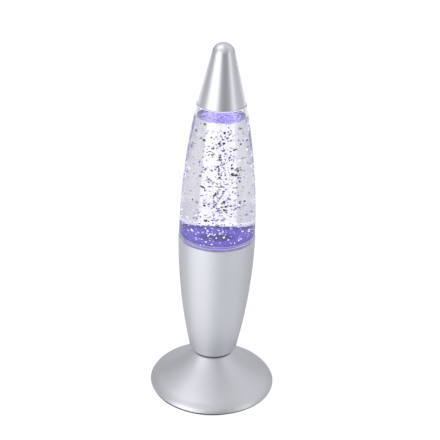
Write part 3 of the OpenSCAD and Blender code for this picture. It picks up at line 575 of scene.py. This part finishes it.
def deselect():
    """Deselect everything, the CAD nodes too."""
    bpy.ops.object.select_all(action="DESELECT")


def bow(start, end, bulge):
    """Place and heading along an edge that bulges to its right, and the edge's length."""
    chord = end - start
    ahead = chord.normalized()
    right = Vector((ahead.y, -ahead.x))
    if not bulge:
        return (lambda u: (start + chord * u, ahead)), chord.length
    right *= copysign(1.0, bulge)
    rise = abs(bulge)
    radius = (chord.length ** 2 / 4 + rise ** 2) / (2 * rise)
    centre = (start + end) / 2 - right * (radius - rise)
    half = asin(chord.length / (2 * radius))

    def at(u):
        a = (2 * u - 1) * half
        return centre + radius * (right * cos(a) + ahead * sin(a)), ahead * cos(a) - right * sin(a)
    return at, 2 * half * radius


def outline(corners, closed=True):
    """Points of a turned section. A corner is (radius, height, rounding, bulge of the next edge)."""
    corners = [(*corner, 0.0, 0.0)[:4] for corner in corners]
    count = len(corners)
    spans = count if closed else count - 1
    edges = [bow(Vector(corners[i][:2]), Vector(corners[(i + 1) % count][:2]), corners[i][3])
             for i in range(spans)]
    turns, cuts = [], []
    for i, corner in enumerate(corners):
        inner = closed or 0 < i < count - 1
        if inner and corner[2]:
            before = edges[i - 1][0](1.0)[1]
            after = edges[i % spans][0](0.0)[1]
            turn = atan2(before.cross(after), before.dot(after))
            turns.append(turn)
            cuts.append(corner[2] * tan(abs(turn) / 2))
        else:
            turns.append(0.0)
            cuts.append(0.0)
    points = []
    for i, corner in enumerate(corners):
        if cuts[i]:
            at, run = edges[i - 1]
            start, heading = at(1 - cuts[i] / run)
            side = Vector((-heading.y, heading.x)) * copysign(corner[2], turns[i])
            centre = start + side
            pieces = max(3, ceil(abs(turns[i]) / ROUNDING_STEP))
            for k in range(pieces + 1):
                points.append(centre + Matrix.Rotation(turns[i] * k / pieces, 2) @ -side)
        else:
            points.append(Vector(corner[:2]))
        if i < spans:
            at, run = edges[i]
            low = cuts[i] / run
            high = 1 - cuts[(i + 1) % count] / run
            brace = min(BRACE / run, 0.1)
            steps = max(1, ceil(run / BOW_STEP)) if corner[3] else 1
            for k in range(steps + 1):
                u = low + brace + (high - low - 2 * brace) * k / steps
                points.append(at(u)[0])
    if closed:
        points.append(points[0].copy())
    return points


def turn(name, points, steps=ROUND_STEPS):
    """Draw an outline point by point and spin it round the lamp's axis."""
    deselect()
    bpy.ops.mesh.primitive_plane_add(size=1 * MM)
    piece = bpy.context.active_object
    piece.name = piece.data.name = name
    bpy.ops.object.mode_set(mode="EDIT")
    bpy.ops.mesh.select_all(action="SELECT")
    bpy.ops.mesh.merge(type="CENTER")
    bpy.ops.transform.translate(value=(points[0].x, 0.0, points[0].y))
    for here, there in zip(points, points[1:]):
        bpy.ops.mesh.extrude_region_move(
            TRANSFORM_OT_translate={"value": (there.x - here.x, 0.0, there.y - here.y)})
    bpy.ops.mesh.select_all(action="SELECT")
    bpy.ops.mesh.spin(steps=steps, angle=2 * pi, center=(0.0, 0.0, 0.0), axis=(0.0, 0.0, 1.0))
    bpy.ops.mesh.select_all(action="SELECT")
    bpy.ops.mesh.remove_doubles(threshold=TURN_WELD)
    bpy.ops.mesh.normals_make_consistent(inside=False)
    bpy.ops.object.mode_set(mode="OBJECT")
    bpy.ops.object.shade_smooth_by_angle(angle=TURN_SMOOTH)
    return piece


def softened(node, name, width):
    """Copy a CAD node, join its loose faces and round its edges."""
    deselect()
    source = frame["nodes"][node]
    source.select_set(True)
    bpy.context.view_layer.objects.active = source
    bpy.ops.object.duplicate()
    piece = bpy.context.active_object
    bpy.ops.object.parent_clear(type="CLEAR_KEEP_TRANSFORM")
    for key in list(piece.keys()):
        if key.startswith("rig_"):
            del piece[key]
    piece.name = piece.data.name = name
    bpy.ops.object.mode_set(mode="EDIT")
    bpy.ops.mesh.select_all(action="SELECT")
    bpy.ops.mesh.remove_doubles(threshold=COPY_WELD)
    bpy.ops.mesh.dissolve_limited(angle_limit=COPY_FLAT)
    bpy.ops.object.mode_set(mode="OBJECT")
    rounding = piece.modifiers.new("rounding", "BEVEL")
    rounding.width = width
    rounding.segments = 2
    rounding.limit_method = "ANGLE"
    rounding.angle_limit = COPY_SHARP
    bpy.ops.object.modifier_apply(modifier=rounding.name)
    bpy.ops.object.shade_smooth_by_angle(angle=COPY_SMOOTH)
    return piece


def dress(piece, material):
    """Give a piece one finish all over."""
    piece.data.materials.clear()
    piece.data.materials.append(material)


def settle(piece, body, material, node):
    """Give a new piece its finish, its body and the node that it stands for."""
    dress(piece, material)
    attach(piece, body)
    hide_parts(node)


def refine(node, name, width, body, material):
    """Stand a softened copy in for a CAD node."""
    settle(softened(node, name, width), body, material, node)


def coat(material, *nodes):
    """Give CAD nodes that stay a better finish."""
    for node in nodes:
        holder = frame["nodes"][node]
        if not holder.material_slots:
            raise RuntimeError("no material slot on " + node)
        for slot in holder.material_slots:
            slot.link = "OBJECT"
            slot.material = material


def vessel_radius(sizes, height, inset):
    """Radius of the vessel's flank at a height, measured in from the outside."""
    low = Vector((sizes.vessel_base_r, BODY_HIGH.z))
    high = Vector((sizes.vessel_top_r, CAP_LOW.z))
    chord = high - low
    right = Vector((chord.y, -chord.x)).normalized()
    radius = (chord.length ** 2 / 4 + sizes.vessel_bulge ** 2) / (2 * sizes.vessel_bulge)
    centre = (low + high) / 2 - right * (radius - sizes.vessel_bulge)
    return centre.x + sqrt((radius - inset) ** 2 - (height - centre.y) ** 2)


# Operators

class LampOperator:
    """What the operators share: the sizes and the colours."""
    bl_options = {"REGISTER", "UNDO"}

    @property
    def sizes(self):
        return bpy.context.scene.lamp_sizes

    @property
    def colours(self):
        return bpy.context.scene.lamp_colours


class GLITTER_LAMP_OT_cap(LampOperator, Operator):
    """Turn the silver cone cap with its sleeve."""
    bl_idname = "glitter_lamp.cap"
    bl_label = "Cap"

    def execute(self, context):
        s = self.sizes
        low, top = CAP_LOW.z, CAP_HIGH.z
        tip = top - s.cap_tip_r
        slant = Vector((s.cap_rim_r, tip - low)).length
        lean = atan2(s.cap_rim_r, tip - low) - asin(s.cap_tip_r / slant)
        inner_r = s.cap_rim_r - s.cap_wall / cos(lean)
        sleeve_top = low + (inner_r - s.sleeve_r) / tan(lean)
        sleeve_out = s.sleeve_r + s.sleeve_wall
        sleeve_low = low + s.sleeve_lift
        gap_top = low + (inner_r - sleeve_out) / tan(lean)

        def dome(radius, first, last, count=14):
            return [Vector((radius * cos(a), tip + radius * sin(a)))
                    for a in (first + (last - first) * k / count for k in range(count + 1))]
        inside = s.cap_tip_r - s.cap_wall
        outer = outline([(s.cap_rim_r - s.cap_wall, low), (s.cap_rim_r, low, s.cap_edge_r),
                         (s.cap_tip_r * cos(lean), tip + s.cap_tip_r * sin(lean))], closed=False)
        inner = outline([(inside * cos(lean), tip + inside * sin(lean)), (s.sleeve_r, sleeve_top),
                         (s.sleeve_r, sleeve_low, s.edge_r), (sleeve_out, sleeve_low, s.edge_r),
                         (sleeve_out, gap_top), (inner_r, low)], closed=False)
        points = (outer[:-1] + dome(s.cap_tip_r, lean, pi / 2) + dome(inside, pi / 2, lean)
                  + inner[1:] + [outer[0].copy()])
        piece = turn("cap_cone", points)
        silver = lacquer("cap_lacquer", self.colours.cap, 0.36, 0.15)
        settle(piece, "cap", silver, "cap")
        return {"FINISHED"}


class GLITTER_LAMP_OT_body(LampOperator, Operator):
    """Turn the silver body with the seat for the vessel."""
    bl_idname = "glitter_lamp.body"
    bl_label = "Body"

    def execute(self, context):
        s = self.sizes
        low, top = FOOT_HIGH.z, BODY_HIGH.z
        seat = PLUG_LOW.z - s.seat_gap
        floor = low + s.body_floor_t
        floor_r = s.body_neck_r - s.body_wall + s.body_spread
        points = outline([
            (s.lead_bore_r, BODY_LOW.z), (s.locator_r, BODY_LOW.z, s.edge_r), (s.locator_r, low),
            (s.body_neck_r, low, s.body_edge_r, s.body_bulge),
            (s.body_rim_r, top, s.edge_r), (s.seat_bore_r, top, s.edge_r),
            (s.seat_bore_r, seat), (s.seat_bore_r - s.seat_ledge, seat, 0.0, -s.body_bulge),
            (floor_r, floor), (s.lead_bore_r, floor)])
        piece = turn("body_cone", points)
        silver = lacquer("body_lacquer", self.colours.silver, 0.41, 0.3)
        settle(piece, "lamp", silver, "body_shell")
        return {"FINISHED"}


class GLITTER_LAMP_OT_foot(LampOperator, Operator):
    """Turn the flared foot with its rolled rim."""
    bl_idname = "glitter_lamp.foot"
    bl_label = "Foot"

    def execute(self, context):
        s = self.sizes
        low, top = FOOT_LOW.z, FOOT_HIGH.z
        lip = low + s.foot_lip_h
        lip_r = s.foot_rim_r - s.foot_lip_h * tan(s.foot_lip_lean)
        seat = top - s.foot_seat_t
        land = top - s.foot_groove
        flank = Vector((lip_r - s.foot_top_r, top - lip))
        side = s.foot_wall * flank.length / flank.y
        drop = s.foot_seat_t * flank.x / flank.y
        points = outline([
            (s.foot_rim_r - side + s.foot_thinning, low, s.fine_edge_r), (s.foot_rim_r, low),
            (lip_r, lip, s.foot_roll_r, -s.foot_hollow),
            (s.foot_top_r, land, s.foot_edge_r), (s.foot_seat_r, land),
            (s.foot_seat_r, top), (s.foot_hole_r, top), (s.foot_hole_r, seat),
            (s.foot_top_r + drop - side, seat, 0.0, s.foot_hollow)])
        piece = turn("foot_flare", points, FINE_STEPS)
        settle(piece, "lamp", bpy.data.materials["body_lacquer"], "foot_shell")
        return {"FINISHED"}


class GLITTER_LAMP_OT_vessel(LampOperator, Operator):
    """Turn the clear vessel with its spigot and neck."""
    bl_idname = "glitter_lamp.vessel"
    bl_label = "Vessel"

    def execute(self, context):
        s, c = self.sizes, self.colours
        rim, shoulder = BODY_HIGH.z + s.joint_gap, CAP_LOW.z - s.joint_gap
        low, top = VESSEL_LOW.z, VESSEL_HIGH.z
        floor = PLUG_HIGH.z
        under = shoulder - s.ceiling
        bore = s.spigot_r - s.spigot_wall
        mouth = s.neck_r - s.neck_wall
        side_low = vessel_radius(s, floor, s.vessel_wall)
        side_top = vessel_radius(s, under, s.vessel_wall)
        chord = Vector((s.vessel_top_r - s.vessel_base_r, shoulder - rim)).length
        inside = Vector((side_top - side_low, under - floor)).length
        bulge_in = s.vessel_bulge * (inside / chord) ** 2
        points = outline([
            (bore, low, s.fine_edge_r), (s.spigot_r, low, s.edge_r), (s.spigot_r, rim),
            (s.vessel_base_r, rim, s.vessel_edge_r, s.vessel_bulge),
            (s.vessel_top_r, shoulder, s.vessel_edge_r), (s.neck_r, shoulder, s.vessel_fillet_r),
            (s.neck_r, top, s.edge_r), (mouth, top, s.edge_r), (mouth, under, s.edge_r),
            (side_top, under, s.vessel_fillet_r, -bulge_in), (side_low, floor),
            (bore, floor, s.fine_edge_r)])
        piece = turn("clear_vessel", points, FINE_STEPS)
        moulding = clear_moulding("vessel_clear", c, (side_low, floor), s.painted_glow_h, s.painted_line_h,
                                  (s.vessel_top_r, shoulder))
        settle(piece, "lamp", moulding, "vessel")
        return {"FINISHED"}


class GLITTER_LAMP_OT_liquid(LampOperator, Operator):
    """Turn the liquid, which wets the vessel's wall and climbs it at the surface."""
    bl_idname = "glitter_lamp.liquid"
    bl_label = "Liquid"

    def execute(self, context):
        s = self.sizes
        wet = s.vessel_wall - s.wetting
        low = PLUG_HIGH.z - s.liquid_dip
        level = LIQUID_HIGH.z
        edge = level + s.meniscus
        rise = 36
        flank = [Vector((vessel_radius(s, z, wet), z))
                 for z in (low + (edge - low) * k / rise for k in range(rise + 1))]
        reach = vessel_radius(s, level, s.vessel_wall)
        from_wall = [d * MM for d in (0.0, 0.3, 0.7, 1.2, 1.8, 2.6, 3.6, 5.0, 7.0)]
        surface = [Vector((reach - d, level + s.meniscus * exp(-d / s.meniscus_decay)))
                   for d in from_wall]
        points = [Vector((0.0, low))] + flank + surface + [Vector((0.0, level))]
        piece = turn("clear_liquid", points, FINE_STEPS)
        water = clear_liquid("liquid_clear", self.colours.liquid)
        settle(piece, "lamp", water, "liquid")
        return {"FINISHED"}


class GLITTER_LAMP_OT_glitter(LampOperator, Operator):
    """Scatter the foil flakes through the liquid, over the lit floor and under the surface."""
    bl_idname = "glitter_lamp.glitter"
    bl_label = "Glitter"

    def execute(self, context):
        g = context.scene.lamp_glitter
        draw = random.Random(g.seed)
        spots = ([self.adrift(g, draw) for _ in range(g.drifting)]
                 + [self.low(g, draw) for _ in range(g.settled)]
                 + [self.afloat(g, draw) for _ in range(g.floating)])
        flakes = self.copies(self.one_flake(g), len(spots))
        for flake, (place, tilt, size, tone) in zip(flakes, spots):
            flake.location = place
            flake.rotation_euler = tilt
            flake.scale = (size, size, 1.0)
            flake.data.attributes["tone"].data.foreach_set("value", [tone] * len(flake.data.vertices))
            flake.select_set(True)
        cloud = flakes[0]
        context.view_layer.objects.active = cloud
        bpy.ops.object.transform_apply(location=True, rotation=True, scale=True)
        bpy.ops.object.join()
        cloud.name = cloud.data.name = "glitter_cloud"
        settle(cloud, "lamp", foil("foil_flakes", self.colours), "glitter_flakes")
        return {"FINISHED"}

    def one_flake(self, g):
        deselect()
        bpy.ops.mesh.primitive_circle_add(vertices=6, radius=g.flake_r, fill_type="NGON")
        bpy.ops.object.mode_set(mode="EDIT")
        bpy.ops.mesh.select_all(action="SELECT")
        bpy.ops.mesh.extrude_region_move(TRANSFORM_OT_translate={"value": (0.0, 0.0, g.flake_t)})
        bpy.ops.mesh.select_all(action="SELECT")
        bpy.ops.mesh.normals_make_consistent(inside=False)
        bpy.ops.object.mode_set(mode="OBJECT")
        flake = bpy.context.active_object
        flake.data.attributes.new("tone", "FLOAT", "POINT")
        return flake

    def copies(self, flake, count):
        """Double the flakes until there are enough."""
        flakes = [flake]
        while len(flakes) < count:
            deselect()
            for one in flakes[:count - len(flakes)]:
                one.select_set(True)
            bpy.ops.object.duplicate()
            flakes += bpy.context.selected_objects
        deselect()
        return flakes

    def adrift(self, g, draw):
        """A flake anywhere in the liquid, most often near the axis."""
        s = self.sizes
        floor, level = PLUG_HIGH.z + g.margin, LIQUID_HIGH.z - g.margin
        widest = vessel_radius(s, floor, s.vessel_wall)
        while True:
            z = floor + (level - floor) * draw.random()
            reach = vessel_radius(s, z, s.vessel_wall) - g.margin
            if draw.random() < (reach / widest) ** 2:
                break
        out = draw.random() ** 0.8
        r, a = reach * out, 2 * pi * draw.random()
        tilt = Euler((pi * draw.random(), pi * draw.random(), 2 * pi * draw.random()))
        size = draw.uniform(0.7, 1.2)
        dark = DARK_IN_CORE if out < g.core else DARK_AROUND
        tone = draw.choices((DARK, VIOLET, SILVER), (dark, VIOLET_CHANCE, SILVER_CHANCE))[0]
        # Some flakes outside the core and near the lit floor get a painted glint (BRIGHT).
        if out > g.core and draw.random() < SILVERED:
            tone = SILVER if draw.random() < UNLIT else BRIGHT
        if z - floor < g.glint_h:
            tone = SILVER if draw.random() < UNLIT_LOW else BRIGHT
        # Painted shade: dark flakes stand upright to face the front and are a little larger.
        if tone == DARK:
            tilt.x = pi / 2 + draw.uniform(-0.3, 0.3)
            tilt.y = 0.0
            size += 0.3
        return (r * cos(a), r * sin(a), z), tilt, size, tone

    def low(self, g, draw):
        """A flake close over the lit floor, lying nearly flat, with a painted glint of the light from
        below.
        """
        s = self.sizes
        r = (s.spigot_r - s.spigot_wall - g.margin) * draw.random() ** 0.5
        a = 2 * pi * draw.random()
        place = (r * cos(a), r * sin(a), PLUG_HIGH.z + draw.uniform(0.5, 4.5) * MM)
        tilt = Euler((draw.gauss(0.0, 0.35), draw.gauss(0.0, 0.35), 2 * pi * draw.random()))
        return place, tilt, draw.uniform(0.6, 1.0), BRIGHT

    def afloat(self, g, draw):
        """A flake just under the surface, with a painted glow of the light from below."""
        s = self.sizes
        reach = g.raft * (vessel_radius(s, LIQUID_HIGH.z, s.vessel_wall) - g.margin)
        r = reach * draw.random() ** 0.5
        a = 2 * pi * draw.random()
        place = (r * cos(a), r * sin(a), LIQUID_HIGH.z - draw.uniform(0.5, 1.3) * MM)
        tilt = Euler((draw.gauss(0.0, 0.08), draw.gauss(0.0, 0.08), 2 * pi * draw.random()))
        return place, tilt, draw.uniform(0.9, 1.7), LIT


class GLITTER_LAMP_OT_lit_floor(LampOperator, Operator):
    """Light the frosted plug under the liquid."""
    bl_idname = "glitter_lamp.lit_floor"
    bl_label = "Lit floor"

    def execute(self, context):
        s = self.sizes
        coat(lit_frost("floor_glow", self.colours, s.spigot_r - s.spigot_wall), "vessel_plug")
        return {"FINISHED"}


class GLITTER_LAMP_OT_rubber(LampOperator, Operator):
    """Round off the rubber stopper and pads and finish the seal."""
    bl_idname = "glitter_lamp.rubber"
    bl_label = "Rubber"

    def execute(self, context):
        s = self.sizes
        rubber = rubbery("soft_rubber", self.colours.rubber)
        coat(rubber, "plug_seal")
        refine("stopper", "neck_stopper", s.stopper_edge_r, "lamp", rubber)
        refine("rubber_feet", "rubber_pads", s.pad_edge_r, "lamp", rubber)
        return {"FINISHED"}


class GLITTER_LAMP_OT_light_unit(LampOperator, Operator):
    """Finish the reflector, the board, its chip and its diodes."""
    bl_idname = "glitter_lamp.light_unit"
    bl_label = "Light unit"

    def execute(self, context):
        c = self.colours
        coat(moulded("reflector_white", c.white, 0.4), "reflector")
        coat(solder_mask("board_mask", c.board, c.nickel), "light_board")
        coat(moulded("chip_black", c.black, 0.35), "board_chip")
        coat(diode_lens("diode_glow", c.glow_ring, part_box("diodes")[0].z, 5.0 * MM), "diodes")
        return {"FINISHED"}


class GLITTER_LAMP_OT_base_plate(LampOperator, Operator):
    """Round off the base plate, the battery door and the switch slider."""
    bl_idname = "glitter_lamp.base_plate"
    bl_label = "Base plate"

    def execute(self, context):
        width = self.sizes.plate_edge_r
        grey = moulded("plate_grey", self.colours.grey)
        black = moulded("switch_black", self.colours.black, 0.42)
        refine("base_plate", "base_moulding", width, "lamp", grey)
        refine("battery_door", "bay_door", width, "door", grey)
        refine("switch_slider", "switch_knob", width, "slider", black)
        return {"FINISHED"}


class GLITTER_LAMP_OT_screws(LampOperator, Operator):
    """Finish the screws."""
    bl_idname = "glitter_lamp.screws"
    bl_label = "Screws"

    def execute(self, context):
        width = self.sizes.screw_edge_r
        zinc = plated("zinc_plate", self.colours.zinc)
        coat(zinc, "neck_screws", "board_screws", "switch_screws")
        refine("base_screws", "plate_screws", width, "lamp", zinc)
        refine("door_screw", "bay_screw", width, "door", zinc)
        return {"FINISHED"}


class GLITTER_LAMP_OT_battery(LampOperator, Operator):
    """Finish the cells, the contacts, the switch housing and the leads."""
    bl_idname = "glitter_lamp.battery"
    bl_label = "Battery and wiring"

    def execute(self, context):
        c = self.colours
        low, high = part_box("battery_cells")
        pitch = (high.y - low.y) / 3
        wrapper = wrapped_cell("cell_sleeve", c.wrapper, c.wrapper_band, c.nickel, high.x, pitch)
        refine("battery_cells", "dry_cells", self.sizes.cell_edge_r, "lamp", wrapper)
        coat(plated("nickel_plate", c.nickel), "contact_positive", "contact_negative",
             "contact_bridges", "contact_springs", "switch_housing")
        coat(moulded("lead_red", c.red), "lead_battery_switch", "lead_switch_board")
        coat(moulded("lead_black", c.dark), "lead_battery_board")
        return {"FINISHED"}


class GLITTER_LAMP_OT_stage(LampOperator, Operator):
    """Set the floor, the light and the camera."""
    bl_idname = "glitter_lamp.stage"
    bl_label = "Stage"

    def execute(self, context):
        scene = context.scene
        scene.view_settings.view_transform = "Standard"
        scene.cycles.max_bounces = 24
        scene.cycles.transmission_bounces = 24
        scene.cycles.glossy_bounces = 8
        self.make_floor()
        self.make_world(scene)
        self.make_lights()
        self.make_camera(scene)
        return {"FINISHED"}

    def make_floor(self):
        """White floor with a painted shadow under the foot's rim, and painted fields for the rays
        that the silver and the vessel turn.
        """
        deselect()
        bpy.ops.mesh.primitive_plane_add(size=6.0)
        floor = bpy.context.active_object
        floor.name = floor.data.name = "stage_floor"
        material = bpy.data.materials.new("stage_white")
        material.use_nodes = True
        tree = Tree(material.node_tree)
        camera, glossy, through = tree.rays("Is Camera Ray", "Is Glossy Ray", "Is Transmission Ray")
        place = tree.place()
        x, y, _ = tree.parts(place)
        out = tree.reach(place)

        def heading(azimuth):
            return self.toward(x / out, y / out, azimuth)
        # Painted shadow: the floor is painted dark under the foot's rim, and the painted dark reaches
        # out a little where the foot meets the floor in front.
        contact = 0.55 * MM * tree.step(heading(-22.0), 0.75, 0.98)
        bare = tree.step(out - contact, 52.4 * MM, 53.2 * MM)
        painted_contact_shade = tree.blend(bare, rgba(WHITE, 0.1), rgba((0.86, 0.86, 0.87)))
        lit = tree.node("ShaderNodeBsdfDiffuse", None, {"Color": painted_contact_shade})
        white = tree.glow(rgba(WHITE), 1.09)
        # Glossy rays see a painted reflection field, refracted rays a painted backdrop.
        painted_reflection = tree.glow(self.mirrored(tree, x / out, out, heading))
        painted_backdrop = tree.glow(self.seen_through(tree, place, x, y))
        # Camera rays see mostly white glow; under the foot's rim they see only the diffuse floor with
        # its painted shadow.
        open_floor = (0.8 * bare + 0.2 * tree.step(out, 0.15, 0.4)) * camera
        shiny = tree.mix(glossy, tree.mix(open_floor, lit, white), painted_reflection)
        tree.node("ShaderNodeOutputMaterial", None, {"Surface": tree.mix(through, shiny, painted_backdrop)})
        dress(floor, material)

    @staticmethod
    def mirrored(tree, across, out, heading):
        """Floor that the silver reflects, painted for glossy rays: painted pools of light, soft
        painted shades and a painted shadow of the foot.
        """
        keyed = tree.step(heading(-45.0), 0.55, 1.0)
        key_pool = (0.35 + 0.2 * tree.step(out, 0.06, 0.19)) * keyed
        far_shade = 0.4 * tree.step(out, 0.4, 0.9) * tree.step(heading(11.0), 0.85, 0.985)
        foot_shadow = 0.6 * tree.step(out, 0.066, 0.053)
        back_shade = 0.25 * tree.step(heading(165.0), 0.1, 1.0)
        side_shade = 0.08 * tree.step(heading(0.0), 0.5, 0.0)
        back_pool = 0.7 * tree.step(out, 0.24, 0.46) * tree.step(heading(180.0), 0.4, 0.8)
        painted_shine = (0.86 + 0.05 * across + key_pool - far_shade - foot_shadow - back_shade
                 - side_shade + back_pool)
        return tree.node("ShaderNodeCombineColor", None, {
            0: painted_shine, 1: painted_shine * 1.01, 2: painted_shine * 1.045 - 0.04 * keyed})

    @staticmethod
    def seen_through(tree, place, x, y):
        """Floor that the vessel shows, painted for refracted rays: four pale painted fields of light
        with ragged edges on grey.
        """
        ragged = 0.05 * (tree.noise(place, 22.0, 2.0) - 0.5)
        around = x.math("ARCTAN2", x, y) + 9 * pi / 4
        folded = abs(around.math("MODULO", around, pi / 2) - pi / 4) + ragged
        field = tree.step(folded, radians(15.0), radians(12.5))
        return tree.blend(field, (0.735, 0.735, 0.77, 1.0), (1.06, 1.06, 1.06, 1.0))

    @staticmethod
    def toward(x, y, azimuth):
        """Cosine of the angle from a heading, in degrees to the right of the front."""
        return sin(radians(azimuth)) * x - cos(radians(azimuth)) * y

    def make_world(self, scene):
        """Grey room with soft shades, a window and a bright wing, for the silver to reflect."""
        world = bpy.data.worlds.new("studio")
        scene.world = world
        world.use_nodes = True
        tree = Tree(world.node_tree)
        camera, through = tree.rays("Is Camera Ray", "Is Transmission Ray")
        x, y, z = tree.parts(tree.node("ShaderNodeTexCoord", out="Generated"))
        flat = (x * x + y * y + 0.02) ** 0.5

        def field(azimuth, edge, core):
            return tree.step(self.toward(x, y, azimuth) / flat, edge, core)
        low_shade = field(16.0, 0.80, 0.97) * tree.step(z, 0.8, 0.45)
        high_shade = field(44.0, 0.75, 0.97) * tree.step(z, 0.35, 0.6)
        window = field(-51.0, 0.92, 0.99) * tree.step(z, 0.2, 0.4) * tree.step(z, 0.68, 0.48)
        back_shade = field(180.0, 0.35, 0.9) * tree.step(z, 0.3, 0.15)
        wing = field(-68.0, 0.965, 0.99) * tree.step(z, 0.3, 0.18)
        overhead = field(-5.0, 0.75, 0.97) * tree.step(z, 0.5, 0.75)
        room = (0.53 + 0.12 * x + 0.3 * tree.step(z, 0.2, 0.55) - 0.34 * low_shade
                - 0.28 * high_shade + window - 0.06 * back_shade + 0.1 * overhead + 1.2 * wing)
        tone = tree.node("ShaderNodeCombineColor", None, {0: room, 1: room, 2: room * 1.015})
        glazed = tree.blend(through, tone, rgba((0.86, 0.86, 0.9)))
        level = tree.blend(camera, glazed, rgba(WHITE))
        light = tree.node("ShaderNodeBackground", None, {"Color": level, "Strength": 1.0})
        tree.node("ShaderNodeOutputWorld", None, {"Surface": light})

    def make_lights(self):
        """Panels, each with its heading in degrees, distance, height, size and power."""
        aim = Vector((0.0, 0.0, 0.2))
        for name, azimuth, away, height, size, watts in (
                ("panel_left", -40.0, 1.15, 0.46, (0.92, 0.92), 3.6),
                ("strip_right", 60.0, 1.0, 0.375, (0.32, 0.75), 0.75),
                ("panel_top", -97.0, 0.43, 1.14, (0.75, 0.75), 1.8)):
            turned = radians(azimuth)
            place = Vector((away * sin(turned), -away * cos(turned), height))
            deselect()
            bpy.ops.object.light_add(type="AREA", location=place)
            lamp = bpy.context.active_object
            lamp.name = lamp.data.name = name
            lamp.data.shape = "RECTANGLE"
            lamp.data.size, lamp.data.size_y = size
            lamp.data.energy = watts
            lamp.visible_camera = False
            lamp.rotation_euler = (aim - place).to_track_quat("-Z", "Y").to_euler()

    def make_camera(self, scene):
        """Camera at the photograph's angle. Its turns are in radians."""
        place = (0.0, -0.6995, 0.4910)
        pitch, roll, yaw = 0.4492, 0.038, 0.0029
        lens, sensor = 78.71, 36.0
        ahead = Vector((sin(yaw) * cos(pitch), cos(yaw) * cos(pitch), -sin(pitch)))
        right = Vector((cos(yaw), -sin(yaw), 0.0))
        up = right.cross(ahead)
        right, up = cos(roll) * right + sin(roll) * up, cos(roll) * up - sin(roll) * right
        turned = Matrix((right, up, -ahead)).transposed()
        deselect()
        bpy.ops.object.camera_add(location=place, rotation=turned.to_euler())
        camera = bpy.context.active_object
        camera.data.sensor_width = sensor
        camera.data.lens = lens
        camera.data.clip_start = 0.01
        scene.camera = camera


PIECES = (GLITTER_LAMP_OT_cap, GLITTER_LAMP_OT_body, GLITTER_LAMP_OT_foot, GLITTER_LAMP_OT_vessel,
          GLITTER_LAMP_OT_liquid, GLITTER_LAMP_OT_glitter, GLITTER_LAMP_OT_lit_floor,
          GLITTER_LAMP_OT_rubber, GLITTER_LAMP_OT_light_unit, GLITTER_LAMP_OT_base_plate,
          GLITTER_LAMP_OT_screws, GLITTER_LAMP_OT_battery, GLITTER_LAMP_OT_stage)


class GLITTER_LAMP_PT_panel(Panel):
    """Lists the pieces of the lamp."""
    bl_idname = "GLITTER_LAMP_PT_panel"
    bl_label = "Glitter lamp"
    bl_space_type = "VIEW_3D"
    bl_region_type = "UI"
    bl_category = "Glitter lamp"

    def draw(self, context):
        for piece in PIECES:
            self.layout.operator(piece.bl_idname)


GROUPS = {"lamp_sizes": LampSizes, "lamp_glitter": LampGlitter, "lamp_colours": LampColours}


def register():
    for group in GROUPS.values():
        bpy.utils.register_class(group)
    for name, group in GROUPS.items():
        setattr(bpy.types.Scene, name, PointerProperty(type=group))
    for piece in PIECES:
        bpy.utils.register_class(piece)
    bpy.utils.register_class(GLITTER_LAMP_PT_panel)


def unregister():
    bpy.utils.unregister_class(GLITTER_LAMP_PT_panel)
    for piece in reversed(PIECES):
        bpy.utils.unregister_class(piece)
    for name, group in reversed(GROUPS.items()):
        delattr(bpy.types.Scene, name)
        bpy.utils.unregister_class(group)


def main():
    register()
    for piece in PIECES:
        group, name = piece.bl_idname.split(".")
        getattr(getattr(bpy.ops, group), name)()


if __name__ == "__main__":
    main()
